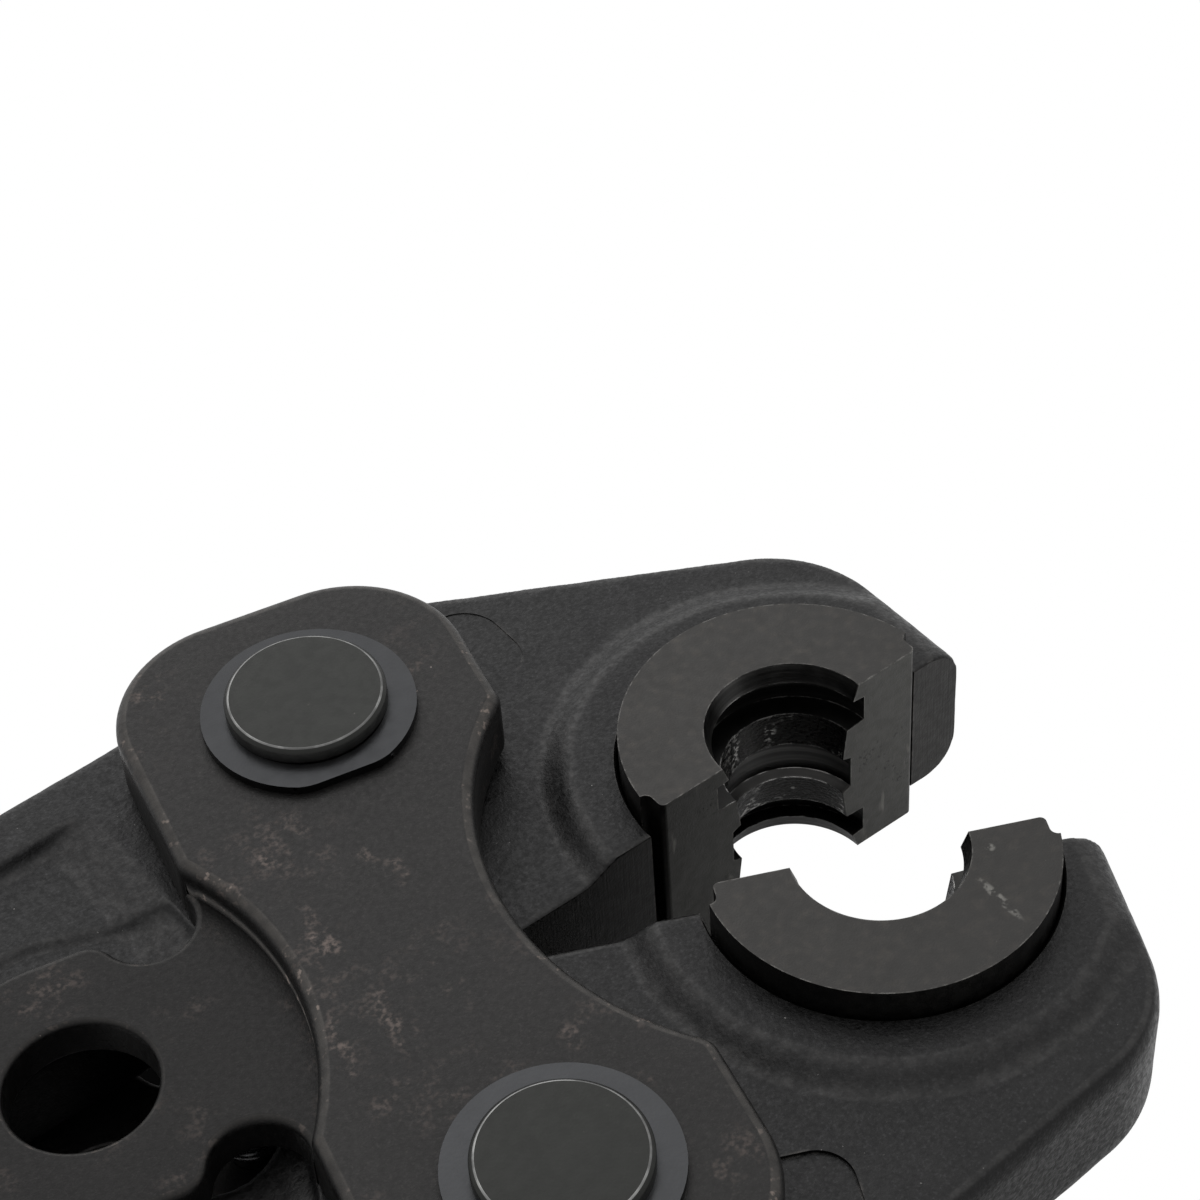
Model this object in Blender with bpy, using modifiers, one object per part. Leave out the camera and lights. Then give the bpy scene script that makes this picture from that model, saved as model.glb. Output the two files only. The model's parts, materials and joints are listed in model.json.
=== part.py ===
"""Press fitting tool jaw: two forged arms on two pivot pins between two side plates.

Each arm carries a replaceable half-round die. The jaw lies flat on its pin ends and is open, as its spring holds it.
Metres, +Z up. The arms are drawn closed, with the line of the pivot pins on X = 0, the dies towards +X and the middle
plane of the jaw on Z = 0. Two empties on the pin axes then swing them open, and the whole jaw is set on the ground with
its box centred on the origin.
"""

import math

import bmesh
import bpy
from mathutils import Matrix, Vector

# Pivots and opening
PIN_SPACING = 0.0600
OPEN_ANGLE = math.radians(12.7)
STOP_GAP = 0.0003

# Side plates
HEAD_LENGTH_FRONT = 0.0175
HEAD_LENGTH_BACK = 0.0180
HEAD_WIDTH = 0.0920
HEAD_CORNER_RADIUS = 0.0125
PLATE_THICKNESS = 0.0080
STEM_THICKNESS = 0.0045
STEM_WIDTH = 0.0300
WAIST_RADIUS = 0.0315
WAIST_FRONT_X = 0.0075
SHOULDER_X = -0.0130
STEP_FOOT_RADIUS = 0.0010
WAIST_CORNER_RADIUS = 0.0025
RELIEF_RADIUS = 0.0045
RELIEF_BITE = 0.0002
RELIEF_FILLET = 0.0030
TOOL_PIN_X = -0.0336
TOOL_PIN_RADIUS = 0.0070
PLATE_EDGE_RADIUS = 0.0010

# Arms
WEB_THICKNESS = 0.0140
RING_THICKNESS = 0.0174
PLATE_CLEARANCE = 0.00015
ARM_RIM_RADIUS = 0.0036
ARM_OUTER_Y = 0.0470
ARM_REAR_OUTER_Y = 0.0455
ARM_TIP_X = 0.0582
ARM_TIP_RADIUS = 0.0140
ARM_SHOULDER_X = 0.0141
ARM_SHOULDER_RADIUS = 0.0250
ARM_FLANK_ANGLE = math.radians(29.6)
ARM_REAR_X = -0.0660
ARM_REAR_OUTER_X = -0.0440
ARM_REAR_RADIUS = 0.0220
ARM_NOSE_Y = 0.0370
ARM_NOSE_RADIUS = 0.0065
CAM_Y = 0.0175
CAM_FRONT_X = -0.0260
CAM_FRONT_RADIUS = 0.0080
CAM_REAR_X = -0.0480
CAM_REAR_RADIUS = 0.0250
CAM_MOUTH_Y = 0.0245
CAM_MOUTH_RADIUS = 0.0050
HEEL_X = -0.0090
BLANK_ALLOWANCE = 0.0060
PARTING_GAP = 0.0004
RING_TOP_RADIUS = 0.0220
RING_FOOT_RADIUS = 0.0241
POCKET_DEPTH = 0.0015
POCKET_OUTER_Y = 0.0399
POCKET_REAR_OUTER_Y = 0.0386
POCKET_FRONT_X = -0.0198
POCKET_REAR_OUTER_X = -0.0480
POCKET_REAR_X = -0.0570
POCKET_REAR_Y = 0.0345
POCKET_CORNER_RADIUS = 0.0030
TERRACE_DEPTH = 0.0006
TERRACE_INSET = 0.0008
TERRACE_FRONT_Y = 0.0254
TERRACE_LOW_X = -0.0230
TERRACE_HIGH_X = -0.0340
TERRACE_HIGH_Y = 0.0303
TERRACE_REAR_Y = 0.0310
TERRACE_CORNER_RADIUS = 0.0040
SEAT_MARK_START = 0.0120
SEAT_MARK_REACH = 0.0252
SEAT_MARK_INNER = 0.0024
SEAT_MARK_INNER_RADIUS = 0.0035
SEAT_MARK_OUTER = 0.0090
SEAT_MARK_OUTER_RADIUS = 0.0045
SEAT_MARK_DEPTH = 0.0004

# Dies
DIE_X = 0.0360
DIE_RADIUS = 0.0170
DIE_THICKNESS = 0.0240
DIE_SEAT_CLEARANCE = 0.0003
DIE_SEAT_CHAMFER = 0.00025
DIE_PARTING_GAP = 0.00015
DIE_CHAMFER = 0.0004
DIE_NOTCH_HEIGHT = 0.0025
DIE_NOTCH_DEPTH = 0.0010
DIE_NOTCH_RADIUS = 0.0008
DIE_CORNER_RADIUS = 0.0006
BORE_EASE = 0.0002
LIP_RADIUS = 0.0086
LIP_INNER_RADIUS = 0.0079
LIP_WIDTH = 0.0020
BEAD_RADIUS = 0.0093
BEAD_WIDTH = 0.0034
RIDGE_OUTER_RADIUS = 0.0071
RIDGE_INNER_RADIUS = 0.0066
RIDGE_WIDTH = 0.0041
LAND_RADIUS = 0.0076

# Die detents: a ball and its spring in a sleeve, which sits in a blind bore in the arm's seat
BALL_RADIUS = 0.0022
SLEEVE_RADIUS = 0.0030
SLEEVE_WALL = 0.0005
SLEEVE_FLOOR = 0.0008
SLEEVE_LIP = 0.0003
SLEEVE_MOUTH_RADIUS = 0.0020
SLEEVE_LENGTH = 0.0084
SLEEVE_CLEARANCE = 0.0002
DETENT_SPRING_RADIUS = 0.0018
DETENT_WIRE_RADIUS = 0.0003
DETENT_TURNS = 4

# Pivot pins, washers and circlips
PIN_RADIUS = 0.0070
PIN_CLEARANCE = 0.0001
PIN_HEAD_RADIUS = 0.0079
PIN_PROUD = 0.0026
PIN_CHAMFER = 0.0007
WASHER_RADIUS = 0.0105
WASHER_THICKNESS = 0.0009
WASHER_FLAT = 0.0098
WASHER_FLAT_FILLET = 0.0030
WASHER_SLACK = 0.0005
CIRCLIP_THICKNESS = 0.0009
CIRCLIP_BAND = 0.0022
CIRCLIP_LUG = 0.0038
CIRCLIP_EYE_RADIUS = 0.0006
GROOVE_DEPTH = 0.0004
CONTACT_GAP = 0.00005

# Opening spring
SPRING_POST_X = -0.0200
SPRING_POST_RADIUS = 0.0020
SPRING_POST_SINK = 0.0020
SPRING_COIL_RADIUS = 0.0030
SPRING_WIRE_RADIUS = 0.0007
SPRING_TURNS = 4
SPRING_PITCH = 0.0016
SPRING_TOE_X = -0.0120
SPRING_TOE_Y = 0.0012

ROUND_STEPS = 32
LARGE_ROUND_STEPS = 52
CUT_REACH = 0.0030
BLANK_REACH = 0.1300
PIN_Y = PIN_SPACING / 2
PLATE_INNER_Z = WEB_THICKNESS / 2 + PLATE_CLEARANCE
PLATE_OUTER_Z = PLATE_INNER_Z + PLATE_THICKNESS
PIN_END_Z = PLATE_OUTER_Z + PIN_PROUD

MATERIALS = {
    "forged_steel": ((0.020, 0.020, 0.021), 0.52),
    "plate_steel": ((0.026, 0.024, 0.023), 0.46),
    "die_steel": ((0.028, 0.026, 0.024), 0.42),
    "pin_steel": ((0.024, 0.025, 0.024), 0.38),
    "washer_steel": ((0.036, 0.039, 0.044), 0.36),
    "spring_steel": ((0.090, 0.090, 0.092), 0.32),
}


def clear_scene():
    for obj in list(bpy.data.objects):
        bpy.data.objects.remove(obj)


def make_collection(name):
    collection = bpy.data.collections.new(name)
    bpy.context.scene.collection.children.link(collection)
    return collection


def make_materials():
    for name, (colour, roughness) in MATERIALS.items():
        material = bpy.data.materials.new(name)
        material.use_nodes = True
        shader = material.node_tree.nodes["Principled BSDF"]
        shader.inputs["Base Color"].default_value = (*colour, 1)
        shader.inputs["Roughness"].default_value = roughness
        shader.inputs["Metallic"].default_value = 1.0


# Outlines


def arc(centre, radius, start, end, steps):
    """Points on a circle from one angle to another, both included."""
    angles = [start + (end - start) * i / steps for i in range(steps + 1)]
    return [(centre[0] + radius * math.cos(a), centre[1] + radius * math.sin(a)) for a in angles]


def circle(centre, radius, steps=ROUND_STEPS):
    return arc(centre, radius, 0, math.tau * (1 - 1 / steps), steps - 1)


def rounded(corners, step=math.radians(12)):
    """A polygon from (x, y, fillet radius) corners, each fillet an arc that meets both its sides smoothly."""
    points = []
    for i, (x, y, radius) in enumerate(corners):
        here = Vector((x, y))
        back = (Vector(corners[i - 1][:2]) - here).normalized()
        ahead = (Vector(corners[(i + 1) % len(corners)][:2]) - here).normalized()
        if radius == 0:
            points.append(tuple(here))
            continue
        half = back.angle(ahead) / 2
        centre = here + (back + ahead).normalized() * radius / math.sin(half)
        start = here + back * radius / math.tan(half) - centre
        end = here + ahead * radius / math.tan(half) - centre
        sweep = start.angle_signed(end)
        steps = max(2, round(abs(sweep) / step))
        points += [tuple(centre + Matrix.Rotation(-sweep * k / steps, 2) @ start) for k in range(steps + 1)]
    return points


# Solids


def object_of(mesh, name="blank"):
    obj = bpy.data.objects.new(name, mesh)
    bpy.context.scene.collection.objects.link(obj)
    return obj


def mesh_of(obj):
    """The object's evaluated mesh in its own frame, welded where a curve's caps meet its sides. The object goes."""
    bpy.context.view_layer.update()
    graph = bpy.context.evaluated_depsgraph_get()
    mesh = bpy.data.meshes.new_from_object(obj.evaluated_get(graph))
    mesh.transform(obj.matrix_world)
    shape = bmesh.new()
    shape.from_mesh(mesh)
    bmesh.ops.remove_doubles(shape, verts=shape.verts, dist=1e-6)
    bmesh.ops.recalc_face_normals(shape, faces=shape.faces)
    shape.to_mesh(mesh)
    shape.free()
    bpy.data.objects.remove(obj)
    return mesh


def extruded(loops, low, high, rim=0):
    """A flat outline, with any holes, between two heights. With a rim, its edges are rounded to that radius."""
    curve = bpy.data.curves.new("outline", "CURVE")
    curve.dimensions = "2D"
    curve.fill_mode = "BOTH"
    curve.extrude = (high - low) / 2 - rim
    curve.bevel_depth = rim
    curve.offset = -rim
    curve.bevel_resolution = 2
    for loop in loops:
        spline = curve.splines.new("POLY")
        spline.points.add(len(loop) - 1)
        for point, (x, y) in zip(spline.points, loop):
            point.co = (x, y, 0, 1)
        spline.use_cyclic_u = True
    obj = object_of(curve)
    obj.location.z = (low + high) / 2
    return object_of(mesh_of(obj))


def turned(profile, steps=ROUND_STEPS, closed=False):
    """A solid turned about Z from (radius, height) points, which run down its outer side."""
    shape = bmesh.new()
    verts = [shape.verts.new((radius, 0, height)) for radius, height in profile]
    pairs = list(zip(verts, verts[1:]))
    if closed:
        pairs.append((verts[-1], verts[0]))
    for pair in pairs:
        shape.edges.new(pair)
    mesh = bpy.data.meshes.new("profile")
    shape.to_mesh(mesh)
    shape.free()
    obj = object_of(mesh)
    screw = obj.modifiers.new("turn", "SCREW")
    screw.steps = screw.render_steps = steps
    screw.use_merge_vertices = True
    screw.merge_threshold = 1e-6
    return object_of(mesh_of(obj))


def cylinder(centre, radius, low, high, steps=ROUND_STEPS):
    shape = bmesh.new()
    bmesh.ops.create_cone(shape, cap_ends=True, segments=steps, radius1=radius, radius2=radius, depth=high - low)
    bmesh.ops.translate(shape, verts=shape.verts, vec=(*centre, (low + high) / 2))
    mesh = bpy.data.meshes.new("cylinder")
    shape.to_mesh(mesh)
    shape.free()
    return object_of(mesh)


def box(low, high):
    low, high = Vector(low), Vector(high)
    shape = bmesh.new()
    bmesh.ops.create_cube(shape, size=1)
    bmesh.ops.scale(shape, verts=shape.verts, vec=high - low)
    bmesh.ops.translate(shape, verts=shape.verts, vec=(low + high) / 2)
    mesh = bpy.data.meshes.new("box")
    shape.to_mesh(mesh)
    shape.free()
    return object_of(mesh)


def ball(centre, radius):
    shape = bmesh.new()
    bmesh.ops.create_uvsphere(shape, u_segments=12, v_segments=8, radius=radius)
    bmesh.ops.translate(shape, verts=shape.verts, vec=centre)
    mesh = bpy.data.meshes.new("ball")
    shape.to_mesh(mesh)
    shape.free()
    return object_of(mesh)


def wire(points, radius):
    """A round wire along a line of points."""
    curve = bpy.data.curves.new("wire", "CURVE")
    curve.dimensions = "3D"
    curve.bevel_depth = radius
    curve.bevel_resolution = 2
    curve.use_fill_caps = True
    spline = curve.splines.new("POLY")
    spline.points.add(len(points) - 1)
    for point, place in zip(spline.points, points):
        point.co = (*place, 1)
    return object_of(mesh_of(object_of(curve)))


def moved(obj, matrix):
    obj.data.transform(matrix)
    return obj


def cut(obj, *cutters, operation="DIFFERENCE"):
    """Takes each cutter out of the object in turn and returns what is left."""
    for cutter in cutters:
        boolean = obj.modifiers.new("cut", "BOOLEAN")
        boolean.operation = operation
        boolean.object = cutter
    mesh = mesh_of(obj)
    for cutter in cutters:
        bpy.data.objects.remove(cutter)
    return object_of(mesh)


def eased(obj, width, segments=2, angle=math.radians(50)):
    """Rounds the object's sharp edges."""
    bevel = obj.modifiers.new("ease", "BEVEL")
    bevel.width = width
    bevel.segments = segments
    bevel.limit_method = "ANGLE"
    bevel.angle_limit = angle
    return object_of(mesh_of(obj))


def place(obj, name, material, parent, collection):
    """Names a finished solid as a piece of the jaw and hangs it on its parent."""
    mesh = mesh_of(obj)
    mesh.materials.clear()
    mesh.materials.append(bpy.data.materials[material])
    mesh.shade_smooth()
    mesh.set_sharp_from_angle(angle=math.radians(30))
    return place_copy(mesh, name, parent, collection)


def place_copy(mesh, name, parent, collection):
    piece = bpy.data.objects.new(name, mesh)
    piece.parent = parent
    collection.objects.link(piece)
    return piece


# Side plates


def waist():
    """The head's hollow front edge from its lower corner to its upper one, as corners for a rounded outline."""
    centre_x = WAIST_FRONT_X + WAIST_RADIUS
    spread = math.acos((centre_x - HEAD_LENGTH_FRONT) / WAIST_RADIUS)
    points = arc((centre_x, 0), WAIST_RADIUS, math.pi + spread, math.pi - spread, 14)
    corners = [(x, y, 0) for x, y in points[1:-1]]
    return [(*points[0], WAIST_CORNER_RADIUS), *corners, (*points[-1], WAIST_CORNER_RADIUS)]


def relief_edge():
    """The stem's root at +Y, from the head's back edge round the relief and by a fillet to the stem's edge."""
    stem_y = STEM_WIDTH / 2
    centre_x = RELIEF_BITE - HEAD_LENGTH_BACK - RELIEF_RADIUS
    reach = RELIEF_RADIUS + RELIEF_FILLET
    tilt = math.acos((reach - RELIEF_BITE) / reach)
    lean = math.asin(RELIEF_FILLET / reach)
    head_fillet = (RELIEF_FILLET - HEAD_LENGTH_BACK, stem_y + reach * math.sin(tilt))
    stem_fillet = (centre_x - reach * math.cos(lean), stem_y - RELIEF_FILLET)
    return [
        *arc(head_fillet, RELIEF_FILLET, math.pi, math.pi + tilt, 2),
        *arc((centre_x, stem_y), RELIEF_RADIUS, tilt, lean - math.pi, 9)[1:],
        *arc(stem_fillet, RELIEF_FILLET, lean, math.pi / 2, 3)[1:],
    ]


def side_plate():
    """A T-shaped plate: a thick waisted head over both pins and a thinner stem that holds the tool's pin."""
    head_y = HEAD_WIDTH / 2
    relief = relief_edge()
    corners = [
        (HEAD_LENGTH_FRONT, -head_y, HEAD_CORNER_RADIUS),
        *waist(),
        (HEAD_LENGTH_FRONT, head_y, HEAD_CORNER_RADIUS),
        (-HEAD_LENGTH_BACK, head_y, HEAD_CORNER_RADIUS),
        *((x, y, 0) for x, y in relief),
        *((x, y, 0) for x, y in arc((TOOL_PIN_X, 0), STEM_WIDTH / 2, math.pi / 2, 1.5 * math.pi, 12)),
        *((x, -y, 0) for x, y in reversed(relief)),
        (-HEAD_LENGTH_BACK, -head_y, HEAD_CORNER_RADIUS),
    ]
    blank = extruded([rounded(corners)], PLATE_INNER_Z, PLATE_OUTER_Z)
    low, high = PLATE_INNER_Z - CUT_REACH, PLATE_OUTER_Z + CUT_REACH
    stem_top = PLATE_INNER_Z + STEM_THICKNESS
    step_cut = eased(cylinder((SHOULDER_X - WAIST_RADIUS, 0), WAIST_RADIUS, stem_top, high, LARGE_ROUND_STEPS), STEP_FOOT_RADIUS)
    blank = cut(blank, step_cut, cylinder((TOOL_PIN_X, 0), TOOL_PIN_RADIUS, low, high))
    post_hole = SPRING_POST_RADIUS + PIN_CLEARANCE
    holes = [
        cylinder((0, PIN_Y), PIN_RADIUS + PIN_CLEARANCE, low, high),
        cylinder((0, -PIN_Y), PIN_RADIUS + PIN_CLEARANCE, low, high),
        cylinder((SPRING_POST_X, 0), post_hole, low, PLATE_INNER_Z + SPRING_POST_SINK, 16),
    ]
    return cut(eased(blank, PLATE_EDGE_RADIUS), *holes)


# Arms, in the frame of their own pivot pin


def flank_y(x):
    """Where the arm's slanted outer edge passes at x."""
    return ARM_OUTER_Y - (x - ARM_SHOULDER_X) * math.tan(ARM_FLANK_ANGLE)


def arm_outline():
    return rounded(
        [
            (ARM_TIP_X, -BLANK_ALLOWANCE, 0),
            (ARM_TIP_X, flank_y(ARM_TIP_X), ARM_TIP_RADIUS),
            (ARM_SHOULDER_X, ARM_OUTER_Y, ARM_SHOULDER_RADIUS),
            (ARM_REAR_OUTER_X, ARM_REAR_OUTER_Y, ARM_REAR_RADIUS),
            (ARM_REAR_X, ARM_NOSE_Y, ARM_NOSE_RADIUS),
            (ARM_REAR_X, CAM_MOUTH_Y, CAM_MOUTH_RADIUS),
            (CAM_REAR_X, CAM_Y, CAM_REAR_RADIUS),
            (CAM_FRONT_X, CAM_Y, CAM_FRONT_RADIUS),
            (HEEL_X, -BLANK_ALLOWANCE, 0),
        ]
    )


def ring_blend(steps=4):
    """The forged blend from the ring's top down to the web, as (radius, height) points going outwards."""
    points = []
    for i in range(steps + 1):
        t = i / steps
        drop = t * t * (3 - 2 * t)
        radius = RING_TOP_RADIUS + (RING_FOOT_RADIUS - RING_TOP_RADIUS) * t
        points.append((radius, RING_THICKNESS / 2 - (RING_THICKNESS - WEB_THICKNESS) / 2 * drop))
    return points


def web_cutter():
    """Takes the blank down to the web's thickness all round the ring that carries the die."""
    top = RING_THICKNESS / 2 + CUT_REACH
    outer = [(RING_TOP_RADIUS, top), (BLANK_REACH, top), (BLANK_REACH, WEB_THICKNESS / 2)]
    profile = [*outer, *reversed(ring_blend())]
    return moved(turned(profile, LARGE_ROUND_STEPS, closed=True), Matrix.Translation((DIE_X, 0, 0)))


def seat_cutter():
    """The die's seat. At the tip it leaves the lip that the die's notch hooks over."""
    radius = DIE_RADIUS + DIE_SEAT_CLEARANCE
    half = RING_THICKNESS / 2
    flare = radius + DIE_SEAT_CHAMFER + CUT_REACH
    neck = half - DIE_SEAT_CHAMFER
    top = half + CUT_REACH
    profile = [(0, top), (flare, top), (radius, neck), (radius, -neck), (flare, -top), (0, -top)]
    lip_end = radius - DIE_NOTCH_DEPTH
    lip = box((lip_end, -BLANK_REACH, -BLANK_REACH), (BLANK_REACH, DIE_NOTCH_HEIGHT - DIE_SEAT_CLEARANCE, BLANK_REACH))
    return moved(cut(turned(profile, LARGE_ROUND_STEPS), lip), Matrix.Translation((DIE_X, 0, 0)))


def pocket_cutter():
    """The forged hollow behind the hub, which runs out to the arm's inner edge."""
    corners = [
        (POCKET_FRONT_X, 0, 0),
        (POCKET_FRONT_X, POCKET_OUTER_Y, POCKET_CORNER_RADIUS),
        (POCKET_REAR_OUTER_X, POCKET_REAR_OUTER_Y, POCKET_CORNER_RADIUS),
        (POCKET_REAR_X, POCKET_REAR_Y, POCKET_CORNER_RADIUS),
        (POCKET_REAR_X, 0, 0),
    ]
    return hollow(corners, 0, POCKET_DEPTH)


def terrace_cutter():
    """The lower terrace of the hollow, beside the roller's track."""
    corners = [
        (POCKET_FRONT_X - TERRACE_INSET, 0, 0),
        (POCKET_FRONT_X - TERRACE_INSET, TERRACE_FRONT_Y, POCKET_CORNER_RADIUS / 2),
        (TERRACE_LOW_X, TERRACE_FRONT_Y, TERRACE_CORNER_RADIUS),
        (TERRACE_HIGH_X, TERRACE_HIGH_Y, TERRACE_CORNER_RADIUS),
        (POCKET_REAR_X + TERRACE_INSET, TERRACE_REAR_Y, TERRACE_CORNER_RADIUS),
        (POCKET_REAR_X + TERRACE_INSET, 0, 0),
    ]
    return hollow(corners, POCKET_DEPTH, TERRACE_DEPTH)


def hollow(corners, below, depth):
    """Cuts to a depth below a floor that already lies below the web, with soft walls."""
    floor = WEB_THICKNESS / 2 - below - depth
    return extruded([rounded(corners, math.radians(22))], floor, WEB_THICKNESS / 2 + CUT_REACH, rim=depth * 0.9)


def seat_mark_cutter():
    """The shallow milled step in front of the side plate."""
    surface = WEB_THICKNESS / 2
    inner_y = PIN_Y - SEAT_MARK_INNER
    outer_y = PIN_Y + SEAT_MARK_OUTER
    corners = [
        (SEAT_MARK_START, inner_y, 0),
        (SEAT_MARK_REACH, inner_y, SEAT_MARK_INNER_RADIUS),
        (SEAT_MARK_REACH, outer_y, SEAT_MARK_OUTER_RADIUS),
        (SEAT_MARK_START, outer_y, 0),
    ]
    return extruded([rounded(corners)], surface - SEAT_MARK_DEPTH, surface + CUT_REACH)


def detent_frame():
    """Turns +Z of a turned piece along the detent's bore, out from the die's axis."""
    direction = Vector((math.sin(ARM_FLANK_ANGLE), math.cos(ARM_FLANK_ANGLE), 0))
    turn = direction.to_track_quat("Z", "X").to_matrix().to_4x4()
    return Matrix.Translation((DIE_X, 0, 0)) @ turn


def sleeve_mouth():
    """From the die's axis to the sleeve's open end, just below the seat."""
    return DIE_RADIUS + DIE_SEAT_CLEARANCE + SLEEVE_CLEARANCE


def ball_distance():
    """From the die's axis to the ball's centre, where the ball rests on the sleeve's lip."""
    reach = math.sqrt(BALL_RADIUS**2 - SLEEVE_MOUTH_RADIUS**2)
    return sleeve_mouth() + SLEEVE_LIP + reach + CONTACT_GAP


def detent_cutter():
    bottom = sleeve_mouth() + SLEEVE_LENGTH + SLEEVE_CLEARANCE
    return moved(cylinder((0, 0), SLEEVE_RADIUS + SLEEVE_CLEARANCE, DIE_RADIUS - CUT_REACH, bottom, 16), detent_frame())


def arm():
    half = RING_THICKNESS / 2
    flip = Matrix.Rotation(math.pi, 4, "X")
    mirror = Matrix.Scale(-1, 4, (0, 0, 1))
    reach = Vector((BLANK_REACH, BLANK_REACH, half + CUT_REACH))
    closed_cut = box(-reach, (reach.x, PARTING_GAP, reach.z))
    stop_cut = box(-reach, (reach.x, STOP_GAP, reach.z))
    pivot = Matrix.Translation((0, PIN_Y, 0))
    stop_cut = moved(stop_cut, pivot @ Matrix.Rotation(-OPEN_ANGLE, 4, "Z") @ pivot.inverted())
    blank = extruded([arm_outline()], -half, half, rim=ARM_RIM_RADIUS)
    cutters = [web_cutter(), moved(web_cutter(), flip), seat_cutter()]
    cutters.append(cylinder((0, PIN_Y), PIN_RADIUS + PIN_CLEARANCE, -half - CUT_REACH, half + CUT_REACH))
    for cutter in (pocket_cutter, terrace_cutter, seat_mark_cutter):
        cutters += [cutter(), turned_over(cutter(), mirror)]
    cutters += [detent_cutter(), closed_cut, stop_cut]
    return moved(cut(blank, *cutters), pivot.inverted())


def turned_over(obj, mirror):
    """The object's mirror image below the jaw's middle plane, with its faces still pointing out."""
    obj.data.transform(mirror)
    obj.data.flip_normals()
    return obj


# Dies


def bore_profile():
    """Half of the bore's section from the middle plane out to the die's face, as (radius, height) points."""
    half = DIE_THICKNESS / 2
    lip = half - LIP_WIDTH
    bead = lip - BEAD_WIDTH
    ridge = bead - RIDGE_WIDTH
    return [
        (LAND_RADIUS, ridge - 2 * BORE_EASE),
        (RIDGE_INNER_RADIUS, ridge),
        (RIDGE_OUTER_RADIUS, bead - BORE_EASE),
        (BEAD_RADIUS, bead),
        (BEAD_RADIUS, lip - BORE_EASE),
        (LIP_INNER_RADIUS, lip),
        (LIP_RADIUS, half),
    ]


def die_outline():
    """What is kept of the ring: the half above the parting face, with a rounded notch at each end of it."""
    beyond = DIE_RADIUS + CUT_REACH
    end = DIE_RADIUS - DIE_NOTCH_DEPTH
    return rounded(
        [
            (end, DIE_PARTING_GAP, DIE_CORNER_RADIUS),
            (end, DIE_NOTCH_HEIGHT, DIE_NOTCH_RADIUS),
            (beyond, DIE_NOTCH_HEIGHT, 0),
            (beyond, beyond, 0),
            (-beyond, beyond, 0),
            (-beyond, DIE_NOTCH_HEIGHT, 0),
            (-end, DIE_NOTCH_HEIGHT, DIE_NOTCH_RADIUS),
            (-end, DIE_PARTING_GAP, DIE_CORNER_RADIUS),
        ],
        math.radians(30),
    )


def die():
    """Half of a turned ring, with its bore stepped for the fitting's bead and its corners cut back at the parting face."""
    half = DIE_THICKNESS / 2
    upper = bore_profile()
    lower = [(radius, -height) for radius, height in reversed(upper)]
    outer = [
        (DIE_RADIUS - DIE_CHAMFER, half),
        (DIE_RADIUS, half - DIE_CHAMFER),
        (DIE_RADIUS, DIE_CHAMFER - half),
        (DIE_RADIUS - DIE_CHAMFER, -half),
    ]
    ring = turned([*outer, *lower, *upper], LARGE_ROUND_STEPS, closed=True)
    half_ring = cut(ring, extruded([die_outline()], -half - CUT_REACH, half + CUT_REACH), operation="INTERSECT")
    into_arm = Matrix.Translation((DIE_X, -PIN_Y, 0))
    dimple = ball((0, 0, ball_distance()), BALL_RADIUS + DIE_SEAT_CLEARANCE)
    half_ring = moved(half_ring, Matrix.Translation((DIE_X, 0, 0)))
    half_ring = cut(half_ring, moved(dimple, detent_frame()))
    return moved(half_ring, into_arm @ Matrix.Translation((-DIE_X, 0, 0)))


# Detents


def detent_sleeve():
    """A cup with a narrow lip, which keeps the ball from falling out when the die is off."""
    mouth = sleeve_mouth()
    floor = mouth + SLEEVE_LENGTH - SLEEVE_FLOOR
    bore = SLEEVE_RADIUS - SLEEVE_WALL
    profile = [
        (0, mouth + SLEEVE_LENGTH),
        (SLEEVE_RADIUS, mouth + SLEEVE_LENGTH),
        (SLEEVE_RADIUS, mouth),
        (SLEEVE_MOUTH_RADIUS, mouth),
        (SLEEVE_MOUTH_RADIUS, mouth + SLEEVE_LIP),
        (bore, mouth + SLEEVE_LIP),
        (bore, floor),
        (0, floor),
    ]
    return turned(profile, 16)


def detent_spring():
    wire_radius = DETENT_WIRE_RADIUS
    start = ball_distance() + BALL_RADIUS + wire_radius + CONTACT_GAP
    end = sleeve_mouth() + SLEEVE_LENGTH - SLEEVE_FLOOR - wire_radius - CONTACT_GAP
    per_turn = 8
    count = DETENT_TURNS * per_turn
    points = []
    for i in range(count + 1):
        turn = math.tau * i / per_turn
        across = (DETENT_SPRING_RADIUS * math.cos(turn), DETENT_SPRING_RADIUS * math.sin(turn))
        points.append((*across, start + (end - start) * i / count))
    return wire(points, wire_radius)


# Pivot pins and what holds them


def pivot_pin():
    """A headed pin: the head stands proud of the top plate and a circlip holds the other end."""
    head = PLATE_OUTER_Z + WASHER_THICKNESS + CONTACT_GAP * 2
    groove = -(PLATE_OUTER_Z + WASHER_THICKNESS + CONTACT_GAP * 2)
    groove_end = groove - CIRCLIP_THICKNESS - CONTACT_GAP * 2
    profile = [
        (0, PIN_END_Z),
        (PIN_HEAD_RADIUS - PIN_CHAMFER, PIN_END_Z),
        (PIN_HEAD_RADIUS, PIN_END_Z - PIN_CHAMFER),
        (PIN_HEAD_RADIUS, head),
        (PIN_RADIUS, head),
        (PIN_RADIUS, groove),
        (PIN_RADIUS - GROOVE_DEPTH, groove),
        (PIN_RADIUS - GROOVE_DEPTH, groove_end),
        (PIN_RADIUS, groove_end),
        (PIN_RADIUS, -PIN_END_Z + PIN_CHAMFER / 2),
        (PIN_RADIUS - PIN_CHAMFER / 2, -PIN_END_Z),
        (0, -PIN_END_Z),
    ]
    return turned(profile)


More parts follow.
